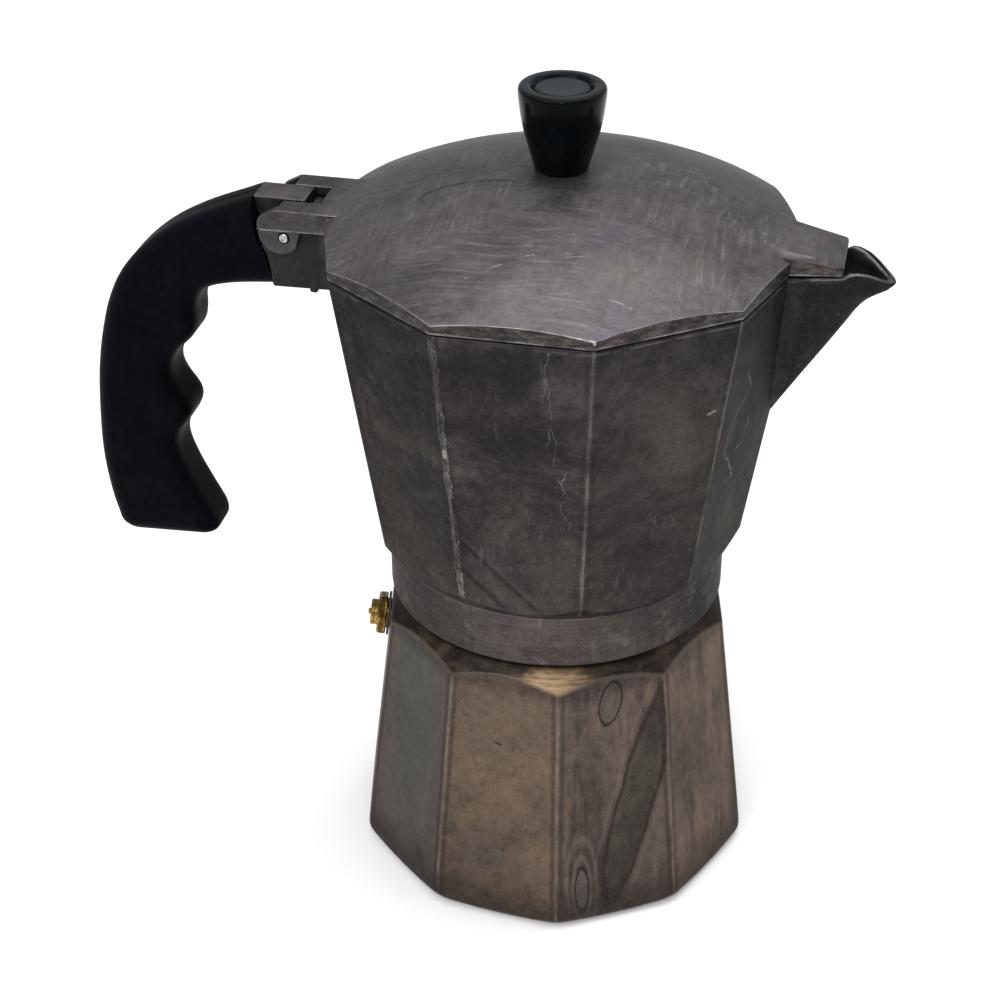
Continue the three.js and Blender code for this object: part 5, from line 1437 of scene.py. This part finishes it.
# ---- handle: satin black, slightly rubbed moulding
M = Mat("handle_black")
t = M.add(M.mul(M.noise(0.04, 4, 0.6), 0.5), M.mul(M.noise(0.5, 4, 0.6), 0.5))
col = M.ramp(t, [(0.36, hexc("0e0f11")), (0.5, hexc("131417")), (0.64, hexc("1b1c1f"))])
col = M.mix(M.mul(M.step(M.noise(0.05, 3, 0.5, vec=M.mapped(loc=(22, 2, 2))), 0.52, 0.7), 0.5), col, hexc("10151b"))
grain = M.add(M.mul(M.noise(2.2, 3, 0.6), 0.7), M.mul(M.voronoi(1.6), 0.3))
hair = scratches(M, 0.05, 0.006, 1.0, seed=8.0)
col = M.mix(M.mul(hair, 0.25), col, hexc("3c3d40"))
rub = M.step(M.noise(0.09, 4, 0.65, vec=M.mapped(loc=(1, 61, 1))), 0.5, 0.75)
col = M.mix(M.mul(rub, 0.3), col, hexc("222326"))
M.set(color=M.mix(1.0, col, (0.34, 0.38, 0.46), "MULTIPLY"), rough=M.add(M.lin(t, 0.3, 0.7, 0.44, 0.54), M.mul(rub, -0.06)), spec=0.025, normal=M.bump(M.add(grain, M.mul(hair, -0.5)), 0.22, 0.0002))
mat_handle = M

# ---- knob: polished black, fine scuffs
M = Mat("knob_black")
t = M.add(M.mul(M.noise(0.09, 4, 0.6), 0.5), M.mul(M.noise(0.9, 4, 0.6), 0.5))
col = M.ramp(t, [(0.36, hexc("07090b")), (0.55, hexc("0b0d0f")), (0.68, hexc("121416"))])
hair = M.top(scratches(M, 0.09, 0.008, 1.2, seed=18.0), scratches(M, 0.14, 0.01, 0.9, rot=(30, 60, 0), seed=28.0))
col = M.mix(M.mul(hair, 0.25), col, hexc("46484b"))
kz = M.nt.nodes.new("ShaderNodeSeparateXYZ"); M.nt.links.new(M.P, kz.inputs[0])
topd = M.mul(M.step(kz.outputs[2], 236.0, 238.0), M.step(up(M), 0.35, 0.95))
kr = M.math("SQRT", M.add(M.mul(kz.outputs[0], kz.outputs[0]), M.mul(kz.outputs[1], kz.outputs[1])))
topd = M.mul(topd, M.step(kr, 8.6, 7.0, 0.42, 1.0))
col = M.mix(M.mul(topd, 0.9), col, hexc("24282b"))
ro = M.add(M.lin(t, 0.3, 0.7, 0.12, 0.22), M.mul(topd, 0.1))
M.set(color=M.mix(1.0, col, (0.5, 0.65, 0.7), "MULTIPLY"), rough=ro, spec=0.1, normal=M.bump(M.add(M.mul(M.noise(0.35, 2, 0.5), 0.8), M.mul(M.noise(1.4, 3, 0.6), 0.2), M.mul(hair, -0.2)), 0.12, 0.00012))
mat_knob = M

for mt, edge_tint in ((mat_collector, 0.34), (mat_lid, 0.62), (mat_boiler, 0.48), (mat_handle, 0.4), (mat_knob, 0.4)):
    for n_ in mt.nt.nodes:
        if n_.bl_idname == "ShaderNodeBsdfPrincipled":
            n_.inputs["Specular Tint"].default_value = (edge_tint, edge_tint, edge_tint, 1)
for o, mt in ((boiler, mat_boiler), (collector, mat_collector), (lid, mat_lid), (handle, mat_handle), (pin, mat_steel), (knob, mat_knob), (knob_cap, mat_knob),
              (valve, mat_brass), (plunger, mat_brass), (v_cap, mat_brass), (column, mat_inner), (col_cap, mat_inner), (h_screw, mat_screw)):
    put(o, mt)
for node_, mt in (("valve_washer", mat_fibre), ("valve_spring", mat_steel), ("funnel_basket", mat_inner), ("funnel_stem", mat_inner), ("funnel_screen", mat_inner),
                  ("gasket", mat_rubber), ("filter_plate", mat_inner), ("knob_insert", mat_brass), ("knob_washer", mat_steel), ("knob_screw", mat_steel)):
    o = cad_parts[node_]
    for i in range(max(1, len(o.material_slots))):
        if len(o.material_slots) == 0:
            o.data.materials.append(mt.m)
        else:
            o.material_slots[i].material = mt.m

# ---------------------------------------------------------------- floor, world and light
bpy.ops.mesh.primitive_plane_add(size=60, location=(0, 0, -0.0002))
floor = bpy.context.object
floor.name = "floor"
F = Mat("floor_pale")
F.set(color=F.ramp(F.noise(0.004, 3, 0.5), [(0.3, (0.86, 0.86, 0.86)), (0.7, (0.9, 0.9, 0.9))]), rough=0.75, spec=0.2)
put(floor, F)

world = bpy.data.worlds.new("world")
bpy.context.scene.world = world
world.use_nodes = True
wn = world.node_tree
wn.nodes.clear()
wo = wn.nodes.new("ShaderNodeOutputWorld")
wb = wn.nodes.new("ShaderNodeBackground")
wt = wn.nodes.new("ShaderNodeTexCoord")
wsep = wn.nodes.new("ShaderNodeSeparateXYZ")
wr = wn.nodes.new("ShaderNodeValToRGB")
wn.links.new(wt.outputs["Generated"], wsep.inputs[0])
wn.links.new(wsep.outputs[2], wr.inputs[0])
wr.color_ramp.elements[0].position = 0.0
wr.color_ramp.elements[0].color = (0.7, 0.7, 0.715, 1)
wr.color_ramp.elements[1].position = 0.75
wr.color_ramp.elements[1].color = (1.0, 1.0, 1.0, 1)
wn.links.new(wr.outputs[0], wb.inputs[0])
wb.inputs[1].default_value = 0.8
wn.links.new(wb.outputs[0], wo.inputs[0])


def area(name, loc, target, size, power, color=(1, 1, 1), size_y=None):
    d = bpy.data.lights.new(name, "AREA")
    d.energy = power
    d.size = size
    if size_y:
        d.shape = "RECTANGLE"
        d.size_y = size_y
    d.color = color
    o = bpy.data.objects.new(name, d)
    bpy.context.scene.collection.objects.link(o)
    o.location = loc
    o.rotation_euler = (Vector(target) - Vector(loc)).to_track_quat("-Z", "Y").to_euler()
    return o


area("key", (-0.5, -0.9, 1.5), (0, 0, 0.12), 0.9, 11)
area("top", (0.25, 0.25, 1.6), (0, 0, 0.15), 1.2, 12)
area("front", (0.12, -0.95, 1.05), (0, 0, 0.2), 0.2, 5.0)
area("rim", (1.1, 0.3, 0.9), (0, 0, 0.15), 0.7, 2.0)

sc = bpy.context.scene
sc.view_settings.view_transform = "Standard"
sc.view_settings.look = "None"
sc.view_settings.exposure = 0.0
sc.view_settings.gamma = 1.0
